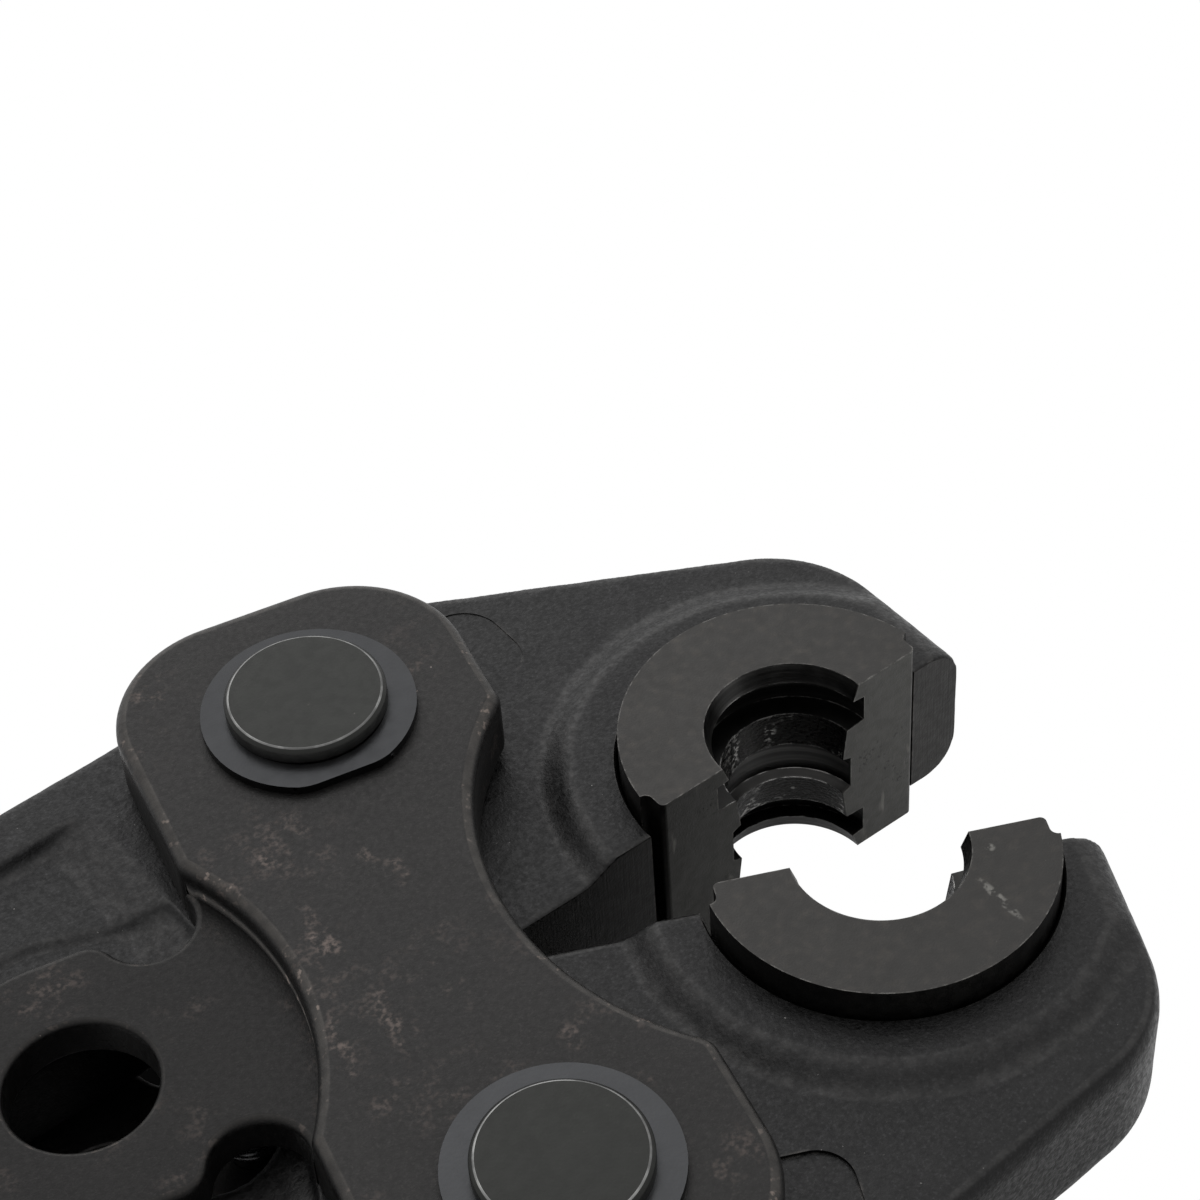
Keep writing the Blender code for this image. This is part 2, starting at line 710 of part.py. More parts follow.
def washer():
    """A round washer with one flat, which lies towards -Y."""
    half = math.acos(WASHER_FLAT / WASHER_RADIUS)
    points = arc((0, 0), WASHER_RADIUS, half - math.pi / 2, 1.5 * math.pi - half, ROUND_STEPS)
    corners = [(x, y, 0) for x, y in points]
    corners[0] = (*points[0], WASHER_FLAT_FILLET)
    corners[-1] = (*points[-1], WASHER_FLAT_FILLET)
    hole = circle((0, 0), PIN_RADIUS + PIN_CLEARANCE + WASHER_SLACK)
    low = PLATE_OUTER_Z + CONTACT_GAP
    return extruded([rounded(corners), hole], low, low + WASHER_THICKNESS)


def circlip():
    """An external circlip, with its two pierced lugs beside the gap."""
    inner = PIN_RADIUS - GROOVE_DEPTH + CONTACT_GAP
    gap = math.radians(14)
    lug = math.radians(34)
    outer = inner + CIRCLIP_BAND
    tip = inner + CIRCLIP_LUG
    outline = [
        *arc((0, 0), outer, lug, math.tau - lug, 24),
        *arc((0, 0), tip, math.tau - lug, math.tau - gap, 4),
        *arc((0, 0), inner, math.tau - gap, gap, 24),
        *arc((0, 0), tip, gap, lug, 4),
    ]
    middles = arc((0, 0), (inner + tip) / 2, -(gap + lug) / 2, (gap + lug) / 2, 1)
    eyes = [circle(middle, CIRCLIP_EYE_RADIUS, 8) for middle in middles]
    top = -(PLATE_OUTER_Z + WASHER_THICKNESS + CONTACT_GAP * 3)
    return extruded([outline, *eyes], top - CIRCLIP_THICKNESS, top)


# Opening spring


def spring_post():
    reach = PLATE_INNER_Z + SPRING_POST_SINK - CONTACT_GAP
    return cylinder((SPRING_POST_X, 0), SPRING_POST_RADIUS, -reach, reach, 16)


def opening_spring():
    """A wire spring wound on the post, whose two legs press forwards against the arms' heels."""
    per_turn = 10
    count = SPRING_TURNS * per_turn + per_turn // 2
    climb = SPRING_PITCH * count / per_turn
    coil = []
    for i in range(count + 1):
        turn = -math.pi / 2 - math.tau * i / per_turn
        across = (SPRING_POST_X + SPRING_COIL_RADIUS * math.cos(turn), SPRING_COIL_RADIUS * math.sin(turn))
        coil.append((*across, climb * (i / count - 0.5)))
    first_toe = (SPRING_TOE_X, -SPRING_TOE_Y, coil[0][2])
    last_toe = (SPRING_TOE_X, SPRING_TOE_Y, coil[-1][2])
    return wire([first_toe, *coil, last_toe], SPRING_WIRE_RADIUS)


# Assembly


def empty(name, collection, parent=None, location=(0, 0, 0), rotation=(0, 0, 0)):
    obj = bpy.data.objects.new(name, None)
    obj.parent = parent
    obj.location = location
    obj.rotation_euler = rotation
    collection.objects.link(obj)
    return obj


def set_down(jaw, pieces):
    """Moves the whole jaw so that its box stands on the ground, centred on the origin."""
    bpy.context.view_layer.update()
    corners = [piece.matrix_world @ vertex.co for piece in pieces for vertex in piece.data.vertices]
    low = [min(c[k] for c in corners) for k in range(3)]
    high = [max(c[k] for c in corners) for k in range(3)]
    jaw.location = (-(low[0] + high[0]) / 2, -(low[1] + high[1]) / 2, -low[2])


def build():
    clear_scene()
    make_materials()
    collection = make_collection("press_jaw")
    jaw = empty("jaw", collection)
    upside_down = empty("upside_down", collection, jaw, rotation=(math.pi, 0, 0))
    pieces = []

    top_plate = place(side_plate(), "top_side_plate", "plate_steel", jaw, collection)
    pieces += [top_plate, place_copy(top_plate.data, "bottom_side_plate", upside_down, collection)]
    pieces.append(place(spring_post(), "spring_post", "pin_steel", jaw, collection))
    pieces.append(place(opening_spring(), "opening_spring", "spring_steel", jaw, collection))

    arm_solids = {
        "arm": (arm(), "forged_steel"),
        "die": (die(), "die_steel"),
        "detent_ball": (in_detent(ball((0, 0, ball_distance()), BALL_RADIUS)), "spring_steel"),
        "detent_spring": (in_detent(detent_spring()), "spring_steel"),
        "detent_sleeve": (in_detent(detent_sleeve()), "pin_steel"),
    }
    pin_solids = {
        "pivot_pin": (pivot_pin(), "pin_steel"),
        "circlip": (circlip(), "washer_steel"),
    }
    pivots = {
        "left": empty("left_pivot", collection, jaw, (0, PIN_Y, 0), (0, 0, OPEN_ANGLE)),
        "right": empty("right_pivot", collection, jaw, (0, -PIN_Y, 0), (math.pi, 0, -OPEN_ANGLE)),
    }
    pin_axes = {side: empty(f"{side}_pin_axis", collection, jaw, pivots[side].location) for side in pivots}
    for parents, solids in ((pivots, arm_solids), (pin_axes, pin_solids)):
        for kind, (solid, material) in solids.items():
            left = place(solid, f"left_{kind}", material, parents["left"], collection)
            pieces += [left, place_copy(left.data, f"right_{kind}", parents["right"], collection)]

    washer_mesh = None
    for side, shift in (("left", -WASHER_SLACK), ("right", 0)):
        for face, flip in (("top", 0), ("bottom", math.pi)):
            name = f"{side}_{face}_washer"
            centre = empty(f"{name}_centre", collection, pin_axes[side], (0, shift, 0), (0, flip, 0))
            if washer_mesh is None:
                washer_mesh = place(washer(), name, "washer_steel", centre, collection).data
                pieces.append(bpy.data.objects[name])
            else:
                pieces.append(place_copy(washer_mesh, name, centre, collection))
    set_down(jaw, pieces)


def in_detent(obj):
    """Moves a piece made along +Z into the arm's detent bore, in the frame of the arm's pin."""
    return moved(obj, Matrix.Translation((0, -PIN_Y, 0)) @ detent_frame())


build()
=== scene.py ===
"""Looks of a press fitting tool jaw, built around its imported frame. Metres, in the frame's own axes.

Every piece but the hidden sprung balls is made again at the frame's sizes, with rounded edges and wear, and
replaces its CAD node. Arms and dies are drawn as in the closed jaw, around their own pin, then swung open.
"""

import json
import math

import bmesh
import bpy
from mathutils import Matrix, Vector, noise


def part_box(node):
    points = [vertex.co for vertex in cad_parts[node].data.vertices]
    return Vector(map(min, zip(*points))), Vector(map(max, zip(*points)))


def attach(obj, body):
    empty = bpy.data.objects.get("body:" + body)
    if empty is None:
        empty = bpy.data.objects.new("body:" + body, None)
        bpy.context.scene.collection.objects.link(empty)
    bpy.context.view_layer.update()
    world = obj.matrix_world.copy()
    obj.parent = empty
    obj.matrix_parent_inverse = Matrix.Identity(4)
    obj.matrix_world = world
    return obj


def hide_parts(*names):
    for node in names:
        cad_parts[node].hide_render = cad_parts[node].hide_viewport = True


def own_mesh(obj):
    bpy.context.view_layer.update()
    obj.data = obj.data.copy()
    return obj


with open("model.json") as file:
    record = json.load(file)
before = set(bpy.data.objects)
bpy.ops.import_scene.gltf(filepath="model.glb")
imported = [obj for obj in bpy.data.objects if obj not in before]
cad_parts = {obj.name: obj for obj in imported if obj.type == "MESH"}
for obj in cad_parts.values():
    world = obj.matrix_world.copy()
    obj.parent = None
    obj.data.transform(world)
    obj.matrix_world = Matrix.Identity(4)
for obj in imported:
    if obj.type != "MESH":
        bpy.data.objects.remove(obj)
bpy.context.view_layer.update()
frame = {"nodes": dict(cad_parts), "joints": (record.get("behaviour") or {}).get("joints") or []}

# What the frame gives
joints = {joint["name"]: joint for joint in frame["joints"]}
PIVOT = Vector(joints["left_arm_close"]["pos_m"])
OPEN_ANGLE = math.radians(joints["left_arm_close"]["range_deg"][1])
PIN_Y = PIVOT.y
MIDDLE = Vector((PIVOT.x, 0, PIVOT.z))
PLATE_INNER_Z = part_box("top_side_plate")[0].z - MIDDLE.z
PLATE_OUTER_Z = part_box("top_side_plate")[1].z - MIDDLE.z
RING_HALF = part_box("left_arm")[1].z - MIDDLE.z
DIE_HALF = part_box("left_die")[1].z - MIDDLE.z
PIN_END_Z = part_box("left_pivot_pin")[1].z - MIDDLE.z

# Camera, from the circles of the pins, the dies and the tool pin's hole in the photo
CAMERA_AZIMUTH = -21.9105
CAMERA_ELEVATION = 44.5961
CAMERA_ROLL = -4.3053
CAMERA_DISTANCE = 0.306108
CAMERA_TARGET = (0.03143, 0.03035)
FOCAL_SHARE = 3070.67 / 1200
SENSOR = 36
CLIP_START = 0.01

# Floor, room and lamp
FLOOR_SIZE = 12
FLOOR_GAP = 0.0002
FLOOR_PAINT = (0.70, 0.70, 0.70, 1)
SHADE_PLACE = (-0.0239, 0.0218, 0)
SHADE_RADIUS = 0.0044
SHADE_LEVEL = 0.002
WHITE = (1, 1, 1, 1)
BRIGHT_SIDE = (0.20, 0.72, 0.66)
DIM_FROM = -0.6
ROOM_DIM = 0.74
ROOM_BRIGHT = 1.62
LAMP_PLACE = (0.05, 0.75, 0.62)
LAMP_AIM = (0.01, 0.0, 0.02)
LAMP_SIZE = 0.80
LAMP_POWER = 1.6

# Side plates
HEAD_FRONT_X = 0.0175
HEAD_BACK_X = -0.0180
HEAD_WIDTH = 0.0920
HEAD_CORNER_RADIUS = 0.0125
STEM_THICKNESS = 0.0045
STEM_WIDTH = 0.0300
WAIST_RADIUS = 0.0315
WAIST_FRONT_X = 0.0075
WAIST_CORNER_RADIUS = 0.0025
SHOULDER_X = -0.0130
RELIEF_RADIUS = 0.0045
RELIEF_BITE = 0.0002
RELIEF_FILLET = 0.0030
TOOL_PIN_X = -0.0336
TOOL_PIN_RADIUS = 0.0070
PLATE_EDGE_RADIUS = 0.0014
STEM_EDGE_RADIUS = 0.0008
STEP_END_RADIUS = 0.0020
TOOL_PIN_EASE = 0.0006

# Arms
WEB_HALF = 0.0070
ARM_RIM_RADIUS = 0.0040
ARM_OUTER_Y = 0.0470
ARM_REAR_OUTER_Y = 0.0455
ARM_TIP_X = 0.0582
ARM_TIP_RADIUS = 0.0140
ARM_SHOULDER_X = 0.0141
ARM_SHOULDER_RADIUS = 0.0250
ARM_FLANK_ANGLE = math.radians(29.6)
ARM_REAR_X = -0.0660
ARM_REAR_OUTER_X = -0.0440
ARM_REAR_RADIUS = 0.0220
ARM_NOSE_Y = 0.0370
ARM_NOSE_RADIUS = 0.0065
CAM_Y = 0.0175
CAM_FRONT_X = -0.0260
CAM_FRONT_RADIUS = 0.0080
CAM_REAR_X = -0.0480
CAM_REAR_RADIUS = 0.0250
CAM_MOUTH_Y = 0.0245
CAM_MOUTH_RADIUS = 0.0050
HEEL_X = -0.0090
BLANK_ALLOWANCE = 0.0060
BLANK_REACH = 0.1300
PARTING_GAP = 0.0004
STOP_GAP = 0.0003
RING_TOP_RADIUS = 0.0213
RING_FOOT_RADIUS = 0.0252
POCKET_DEPTH = 0.0015
POCKET_OUTER_Y = 0.0399
POCKET_REAR_OUTER_Y = 0.0386
POCKET_FRONT_X = -0.0198
POCKET_REAR_OUTER_X = -0.0480
POCKET_REAR_X = -0.0570
POCKET_REAR_Y = 0.0345
POCKET_CORNER_RADIUS = 0.0030
POCKET_RAMP = 0.0070
TERRACE_DEPTH = 0.0006
TERRACE_INSET = 0.0008
TERRACE_FRONT_Y = 0.0254
TERRACE_LOW_X = -0.0230
TERRACE_HIGH_X = -0.0340
TERRACE_HIGH_Y = 0.0303
TERRACE_REAR_Y = 0.0310
TERRACE_CORNER_RADIUS = 0.0040
SEAT_MARK_START = 0.0120
SEAT_MARK_REACH = 0.0252
SEAT_MARK_INNER = 0.0024
SEAT_MARK_INNER_RADIUS = 0.0035
SEAT_MARK_OUTER = 0.0090
SEAT_MARK_OUTER_RADIUS = 0.0045
SEAT_MARK_DEPTH = 0.0004
WORN_MARK_DEPTH = 0.00014
FORGED_VOXEL = 0.00045
RAW_STOCK = 0.0002
HOLLOW_RIM_SHARE = 0.9
SOFTENING = 0.5
SOFTENING_ROUNDS = 8
SWELL_SIZE = 0.0045
SWELL_DEPTH = 0.00005
DIMPLE_SIZE = 0.0012
DIMPLE_DEPTH = 0.00002
LEFT_SEED = 3.0
RIGHT_SEED = 17.0
CUTTER_BELOW = -0.0200
CUTTER_BEYOND = 0.0800
CUTTER_TALL = 0.0200
MARK_MARGIN = 0.00004

# Dies
FACE_SKIN, BORE_SKIN, RIDGE_SKIN, PARTING_SKIN = range(4)
DIE_X = 0.0360
DIE_RADIUS = 0.0170
DIE_SEAT_CLEARANCE = 0.0003
LIP_GAP = 0.0001
DIE_SEAT_CHAMFER = 0.00025
DIE_PARTING_GAP = 0.00015
DIE_EDGE_RADIUS = 0.00022
DIE_NOTCH_HEIGHT = 0.0025
DIE_NOTCH_DEPTH = 0.0010
DIE_NOTCH_RADIUS = 0.0008
DIE_CORNER_RADIUS = 0.0006
LIP_RADIUS = 0.0086
LIP_INNER_RADIUS = 0.0079
LIP_WIDTH = 0.0020
BEAD_RADIUS = 0.0093
BEAD_WIDTH = 0.0034
RIDGE_OUTER_RADIUS = 0.0071
RIDGE_INNER_RADIUS = 0.0066
RIDGE_WIDTH = 0.0041
LAND_RADIUS = 0.0076
BORE_EASE = 0.0002
DETENT_BORE_RADIUS = 0.0032
DETENT_BORE_DEPTH = 0.0088

# Pins, washers and circlips
PIN_RADIUS = 0.0070
PIN_CLEARANCE = 0.0001
PIN_HEAD_RADIUS = 0.0079
PIN_CHAMFER = 0.0004
PIN_WORN_EDGE = 0.00024
PIN_WORN_SHAPE = ((-0.6, 0), (-0.2, 0.12), (0.2, 0.42))
PIN_END_CHAMFER = 0.0003
WASHER_RADIUS = 0.0105
WASHER_THICKNESS = 0.0009
WASHER_FLAT = 0.0098
WASHER_FLAT_FILLET = 0.0055
WASHER_SLACK = 0.0005
WASHER_EDGE_RADIUS = 0.0003
PALE_TONE = 1.28
CIRCLIP_THICKNESS = 0.0009
CIRCLIP_BAND = 0.0022
CIRCLIP_LUG = 0.0038
CIRCLIP_EYE_RADIUS = 0.0006
CIRCLIP_GAP_ANGLE = math.radians(14)
CIRCLIP_LUG_ANGLE = math.radians(34)
CIRCLIP_EDGE_RADIUS = 0.0001
GROOVE_DEPTH = 0.0004
CONTACT_GAP = 0.00005

# Opening spring
SPRING_POST_X = -0.0200
SPRING_POST_RADIUS = 0.0020
SPRING_POST_SINK = 0.0020
SPRING_POST_EDGE_RADIUS = 0.0002
SPRING_COIL_RADIUS = 0.0030
SPRING_WIRE_RADIUS = 0.0007
SPRING_TURNS = 4
SPRING_STEPS = 40
SPRING_PITCH = 0.0016
SPRING_TOE_X = -0.0120
SPRING_TOE_Y = 0.0012

# Working values
CUT_REACH = 0.0030
WELD_GAP = 1e-6
ROUND_STEPS = 96
HOLE_STEPS = 120
BLEND_STEPS = 160
DIE_STEPS = 200
FINE_STEP = math.radians(4)
COARSE_STEP = math.radians(8)
NOTCH_STEP = math.radians(9)
SHARP_ANGLE = math.radians(38)
DIE_EASE_ANGLE = math.radians(40)
EASE_ANGLE = math.radians(50)
LEVEL_ANGLE = math.radians(0.3)


# Nodes, in the tree that was opened last

opened = []


def open_tree(owner):
    """Opens the node tree of a material or a world for the functions below."""
    owner.use_nodes = True
    opened.append(owner.node_tree)
    return owner.node_tree


def feed(socket, value):
    if isinstance(value, bpy.types.NodeSocket):
        opened[-1].links.new(value, socket)
    else:
        socket.default_value = value


def add(kind, inputs=None, **properties):
    """A shader node with its properties and inputs set. An input given as a socket is linked to it."""
    made = opened[-1].nodes.new("ShaderNode" + kind)
    for name, value in properties.items():
        setattr(made, name, value)
    for name, value in (inputs or {}).items():
        feed(made.inputs[name], value)
    return made


def place_of(stretch=(1, 1, 1)):
    """The point's place on the jaw, stretched along each axis."""
    coordinates = add("TexCoord").outputs["Object"]
    return add("VectorMath", {0: coordinates, 1: stretch}, operation="MULTIPLY").outputs[0]


def grain(size, detail=2.0, stretch=(1, 1, 1)):
    """Noise whose spots are about this size, from 0 to 1."""
    inputs = {"Vector": place_of(stretch), "Scale": 1 / size, "Detail": detail}
    return add("TexNoise", inputs).outputs["Fac"]


def between(value, low, high, out_low=0.0, out_high=1.0):
    """Maps a value from one range to another, smoothly and without going past the ends."""
    inputs = {"Value": value, "From Min": low, "From Max": high, "To Min": out_low, "To Max": out_high}
    return add("MapRange", inputs, interpolation_type="SMOOTHSTEP").outputs["Result"]


def dot(a, b):
    return add("VectorMath", {0: a, 1: b}, operation="DOT_PRODUCT").outputs["Value"]


def times(a, b):
    return add("Math", {0: a, 1: b}, operation="MULTIPLY").outputs[0]


def plus(a, b):
    return add("Math", {0: a, 1: b}, operation="ADD").outputs[0]


def blended(share, low, high):
    """One colour turning into another."""
    mix = add("Mix", {"Factor": share, 6: as_colour(low), 7: as_colour(high)}, data_type="RGBA")
    return mix.outputs[2]


def tinted(base, share, amount, colour):
    """A colour with some of another laid over it."""
    return blended(times(share, amount), base, colour)


def as_colour(value):
    return value if isinstance(value, bpy.types.NodeSocket) else (*value, 1)


def edge_share(radius, low, high):
    """How near a point lies to a sharp or rounded edge, from 0 to 1."""
    bevel = add("Bevel", {"Radius": radius}, samples=4)
    geometry = add("NewGeometry")
    turn = dot(bevel.outputs[0], geometry.outputs["Normal"])
    away = add("Math", {0: 1.0, 1: turn}, operation="SUBTRACT").outputs[0]
    return between(away, low, high)


def slope():
    """How level the surface lies, from 0 on a wall to 1 on a flat."""
    upright = add("SeparateXYZ", {0: add("NewGeometry").outputs["Normal"]}).outputs["Z"]
    return add("Math", {0: upright}, operation="ABSOLUTE").outputs[0]


def rim_share(low, high, flat=0.975):
    """1 on the rounded rim between a flat and a wall, 0 on both."""
    level = slope()
    return times(between(level, low, high), between(level, flat, 0.998, 1.0, 0.0))


def marked(places):
    """1 inside the ellipses that mark the jaw, fading to 0 at their edges."""
    total = 0.0
    for x, y, length, width, degrees in places:
        turn = math.radians(degrees)
        centre = (x / 1000, y / 1000, 0)
        offset = add("VectorMath", {0: place_of(), 1: centre}, operation="SUBTRACT").outputs[0]
        along = (1000 * math.cos(turn) / length, 1000 * math.sin(turn) / length, 0)
        across = (-1000 * math.sin(turn) / width, 1000 * math.cos(turn) / width, 0)
        u = dot(offset, along)
        v = dot(offset, across)
        away = plus(times(u, u), times(v, v))
        total = plus(total, between(away, 0.15, 1.3, 1.0, 0.0))
    return total


def scaled(colour, factor):
    return add("VectorMath", {0: colour, "Scale": factor}, operation="SCALE").outputs[0]


def relief(bumps):
    """A bumped normal from the bumps that steel() takes."""
    normal = None
    for size, detail, depth, *stretch in bumps:
        inputs = {"Height": grain(size, detail, *stretch), "Distance": depth, "Strength": 1.0}
        if normal is not None:
            inputs["Normal"] = normal
        normal = add("Bump", inputs).outputs[0]
    return normal


def steel(name, colour, roughness, bumps=(), spread=0.2):
    """A metal whose colour is a function that builds its own nodes.

    Its roughness is a grain's (size, detail, lowest, highest). Each bump is a grain's (size, detail, depth)
    and, where it is drawn out, its stretch.
    """
    material = bpy.data.materials.new(name)
    shader = open_tree(material).nodes["Principled BSDF"]
    shader.inputs["Metallic"].default_value = 1.0
    feed(shader.inputs["Base Color"], colour())
    size, detail, low, high = roughness
    dull = between(grain(size, detail), 0.5 - spread, 0.5 + spread, low, high)
    feed(shader.inputs["Roughness"], dull)
    if bumps:
        feed(shader.inputs["Normal"], relief(bumps))
    return material


# Materials

# Marks on the plates and the near die's face: x, y, half length and half width in millimetres, and degrees
PLATE_MARKS = (
    (-0.6, 10.6, 2.2, 1.3, -59),
    (1.1, 6.8, 2.4, 1.2, -81),
    (-9, 13.5, 1.7, 0.8, -51),
    (-13.5, 11.8, 2.8, 0.8, -69),
    (0.4, -6.6, 4.3, 1.2, -90),
    (7.2, -17.7, 1.7, 1.2, -74),
    (11.3, -24.4, 1.6, 0.9, -62),
    (8.3, 6.7, 0.6, 0.6, -59),
    (16.3, 20.7, 2.8, 0.9, -99),
    (-12.4, 39.7, 6.2, 1.8, -96),
    (-5.5, -9.2, 4.6, 1.8, -90),
    (-8.1, 3.5, 3.9, 1.4, -83),
    (-11.3, -9.6, 4.5, 1.3, -100),
)
DIE_MARKS = ((49.5, -19, 3.2, 0.5, -80), (51.8, -13.3, 0.5, 0.5, -70))

# Colours of each steel, from its darkest to its palest, of its wear and of the light and shade painted on it
WORN = (0.105, 0.098, 0.092)
FORGED = ((0.019, 0.019, 0.0192), (0.0245, 0.0243, 0.0243))
FORGED_FLECK = (0.04, 0.04, 0.041)
FORGED_SPECK = (0.3, 0.29, 0.28)
FORGED_RIM_SHEEN_AND_WEAR = (0.085, 0.083, 0.081)
MACHINED = ((0.0215, 0.021, 0.0206), (0.029, 0.028, 0.027))
MACHINED_SPECK = (0.16, 0.13, 0.11)
PLATE = ((0.0208, 0.0204, 0.0202), (0.0242, 0.0236, 0.0233))
PLATE_FLECK = (0.04, 0.038, 0.037)
PLATE_SCUFF = (0.15, 0.12, 0.107)
PLATE_SPECK = (0.4, 0.34, 0.31)
PLATE_RIM_SHEEN_AND_WEAR = (0.06, 0.056, 0.052)
PLATE_RIM_FLECK = (0.17, 0.14, 0.124)
DIE = ((0.028, 0.0274, 0.0266), (0.0335, 0.0325, 0.0314))
DIE_MOTTLE = (0.043, 0.04, 0.037)
DIE_SPECK = (0.2, 0.19, 0.17)
DIE_SCRATCH = (0.22, 0.215, 0.2)
DIE_EDGE = (0.16, 0.155, 0.147)
PARTING = ((0.046, 0.0457, 0.0428), (0.06, 0.0595, 0.0556))
PARTING_SPECK = (0.008, 0.008, 0.008)
PARTING_SCRATCH = (0.17, 0.165, 0.15)
PARTING_EDGE = (0.24, 0.235, 0.22)
BORE = ((0.028, 0.0277, 0.0272), (0.062, 0.0608, 0.059))
BORE_EDGE = (0.38, 0.375, 0.365)
RIDGE = ((0.021, 0.0206, 0.02), (0.4, 0.395, 0.38))
PIN = ((0.0222, 0.0226, 0.0215), (0.0256, 0.026, 0.0248))
PIN_WALL_PAINTED_LIGHT = (0.072, 0.072, 0.07)
PIN_RING = ((0.075, 0.075, 0.074), (0.2, 0.2, 0.196))
WASHER = ((0.0276, 0.0282, 0.0295), (0.0336, 0.0342, 0.0357))
WASHER_WALL_PAINTED_SHADE = (0.02, 0.02, 0.02)
WASHER_RIM_WEAR_AND_SHEEN = (0.19, 0.195, 0.21)
SPRING = ((0.07, 0.07, 0.072), (0.11, 0.11, 0.112))

# How a grain is drawn out: upright, round a bore's axis and along a die's ridges
UPRIGHT = (1, 1, 0.03)
UPRIGHT_SCRATCH = (0.3, 0.3, 0.06)
TURNED = (0.02, 0.02, 1)
DRAGGED = (0.5, 0.5, 1)


def specks(size, threshold, spread=14):
    """Small spots, scattered in loose groups."""
    spots = grain(size, 3.0)
    groups = between(grain(size * spread, 1.0), 0.52, 0.66)
    return times(between(spots, threshold, threshold + 0.09), groups)


def edge_wear(radius, low, high, size, amount):
    """Uneven wear along the edges, from 0 to the amount."""
    patches = between(grain(size, 4.0), 0.42, 0.62)
    return times(times(edge_share(radius, low, high), patches), amount)


def forged_steel():
    """Blackened forgings, specked, made pale on their rounded rims by wear and a painted highlight, and with
    painted shade on their walls.
    """

    def colour():
        base = blended(grain(0.006, 4.0), *FORGED)
        fleck = between(grain(0.0003, 3.0), 0.5, 0.8)
        mottled = tinted(base, fleck, 0.6, FORGED_FLECK)
        spotted = blended(specks(0.0004, 0.72), mottled, FORGED_SPECK)
        uneven = between(grain(0.0011, 5.0), 0.35, 0.75, 0.25, 1.0)
        # Pale band on the rounded rims: partly wear, partly a painted highlight along the ring's crest.
        sheen_and_wear_patches = times(rim_share(0.78, 0.94, 0.985), uneven)
        rubbed = tinted(spotted, sheen_and_wear_patches, 0.24, FORGED_RIM_SHEEN_AND_WEAR)
        worn = blended(edge_wear(0.0005, 0.03, 0.25, 0.0012, 0.5), rubbed, WORN)
        # Walls and steep faces painted darker than level faces: painted shade.
        return scaled(worn, between(slope(), 0.05, 0.62, 0.58, 0.94))

    bumps = ((0.0011, 3.0, 0.00006), (0.00028, 4.0, 0.00004))
    return steel("forged_steel", colour, (0.0005, 3.0, 0.36, 0.56), bumps)


def machined_steel():
    """Milled and ground faces of the arms, with upright cutter lines."""

    def colour():
        base = blended(grain(0.004, 4.0), *MACHINED)
        spotted = tinted(base, specks(0.0004, 0.7), 0.7, MACHINED_SPECK)
        return blended(edge_wear(0.0004, 0.03, 0.25, 0.0008, 0.8), spotted, WORN)

    bumps = ((0.00022, 2.0, 0.000018, UPRIGHT), (0.0003, 2.0, 0.00002))
    return steel("machined_steel", colour, (0.001, 3.0, 0.34, 0.48), bumps)


def plate_steel():
    """Blackened plates, darker on the stem and the foot of its step, with rims made pale by wear and a
    painted highlight, walls painted lighter, and rusty scuffs.
    """

    def colour():
        base = blended(grain(0.01, 5.0), *PLATE)
        fleck = between(grain(0.00026, 3.0), 0.52, 0.8)
        mottled = tinted(base, fleck, 0.45, PLATE_FLECK)
        step = MIDDLE.z + PLATE_INNER_Z + STEM_THICKNESS
        height = add("SeparateXYZ", {0: place_of()}).outputs["Z"]
        # Darker on the stem and the lowest part of the step above it.
        toned = scaled(mottled, between(height, step + 0.0003, step + 0.001, 0.76, 1.0))

        groups = between(grain(0.015, 2.0), 0.5, 0.64, 0.0, 0.6)
        scuffed_at = plus(groups, marked(PLATE_MARKS))
        clouds = between(grain(0.002, 5.0), 0.47, 0.66)
        broken = between(grain(0.0005, 4.0), 0.38, 0.66)
        scuffs = times(times(clouds, scuffed_at), broken)
        scuffed = tinted(toned, scuffs, 0.29, PLATE_SCUFF)
        spotted = blended(specks(0.0005, 0.76, 20), scuffed, PLATE_SPECK)

        exposed = between(height, step - 0.0001, step + 0.0006, 0.14, 0.5)
        # Pale band on the rounded rims, weaker on the stem: partly wear, partly a painted highlight.
        sheen_and_wear_patches = between(grain(0.0022, 5.0), 0.3, 0.62, 0.35, 1.0)
        rim = times(rim_share(0.55, 0.8), sheen_and_wear_patches)
        rubbed = blended(times(rim, exposed), spotted, PLATE_RIM_SHEEN_AND_WEAR)
        spots = between(grain(0.0008, 5.0), 0.56, 0.68)
        patches = between(grain(0.008), 0.45, 0.6)
        flecks = times(rim_share(0.4, 0.8), times(spots, patches))
        worn = tinted(rubbed, times(flecks, exposed), 1.2, PLATE_RIM_FLECK)
        # Walls and steep faces painted lighter than level faces: painted light.
        return scaled(worn, between(slope(), 0.1, 0.4, 1.35, 1.0))

    bumps = ((0.0016, 2.0, 0.000018), (0.00022, 3.0, 0.000026))
    return steel("plate_steel", colour, (0.0006, 4.0, 0.4, 0.52), bumps)


def die_steel():
    """The dies' outer faces, turned and blackened, with bright edges."""

    def colour():
        base = blended(grain(0.005, 5.0), *DIE)
        mottled = blended(between(grain(0.0012, 5.0), 0.45, 0.95), base, DIE_MOTTLE)
        spotted = tinted(mottled, specks(0.00035, 0.72), 0.7, DIE_SPECK)
        scratch = times(marked(DIE_MARKS), between(grain(0.0006, 5.0), 0.44, 0.6))
        scratched = tinted(spotted, scratch, 0.36, DIE_SCRATCH)
        return blended(edge_wear(0.0003, 0.02, 0.2, 0.0009, 0.7), scratched, DIE_EDGE)

    return steel("die_steel", colour, (0.001, 3.0, 0.36, 0.46), ((0.00022, 3.0, 0.00002),))


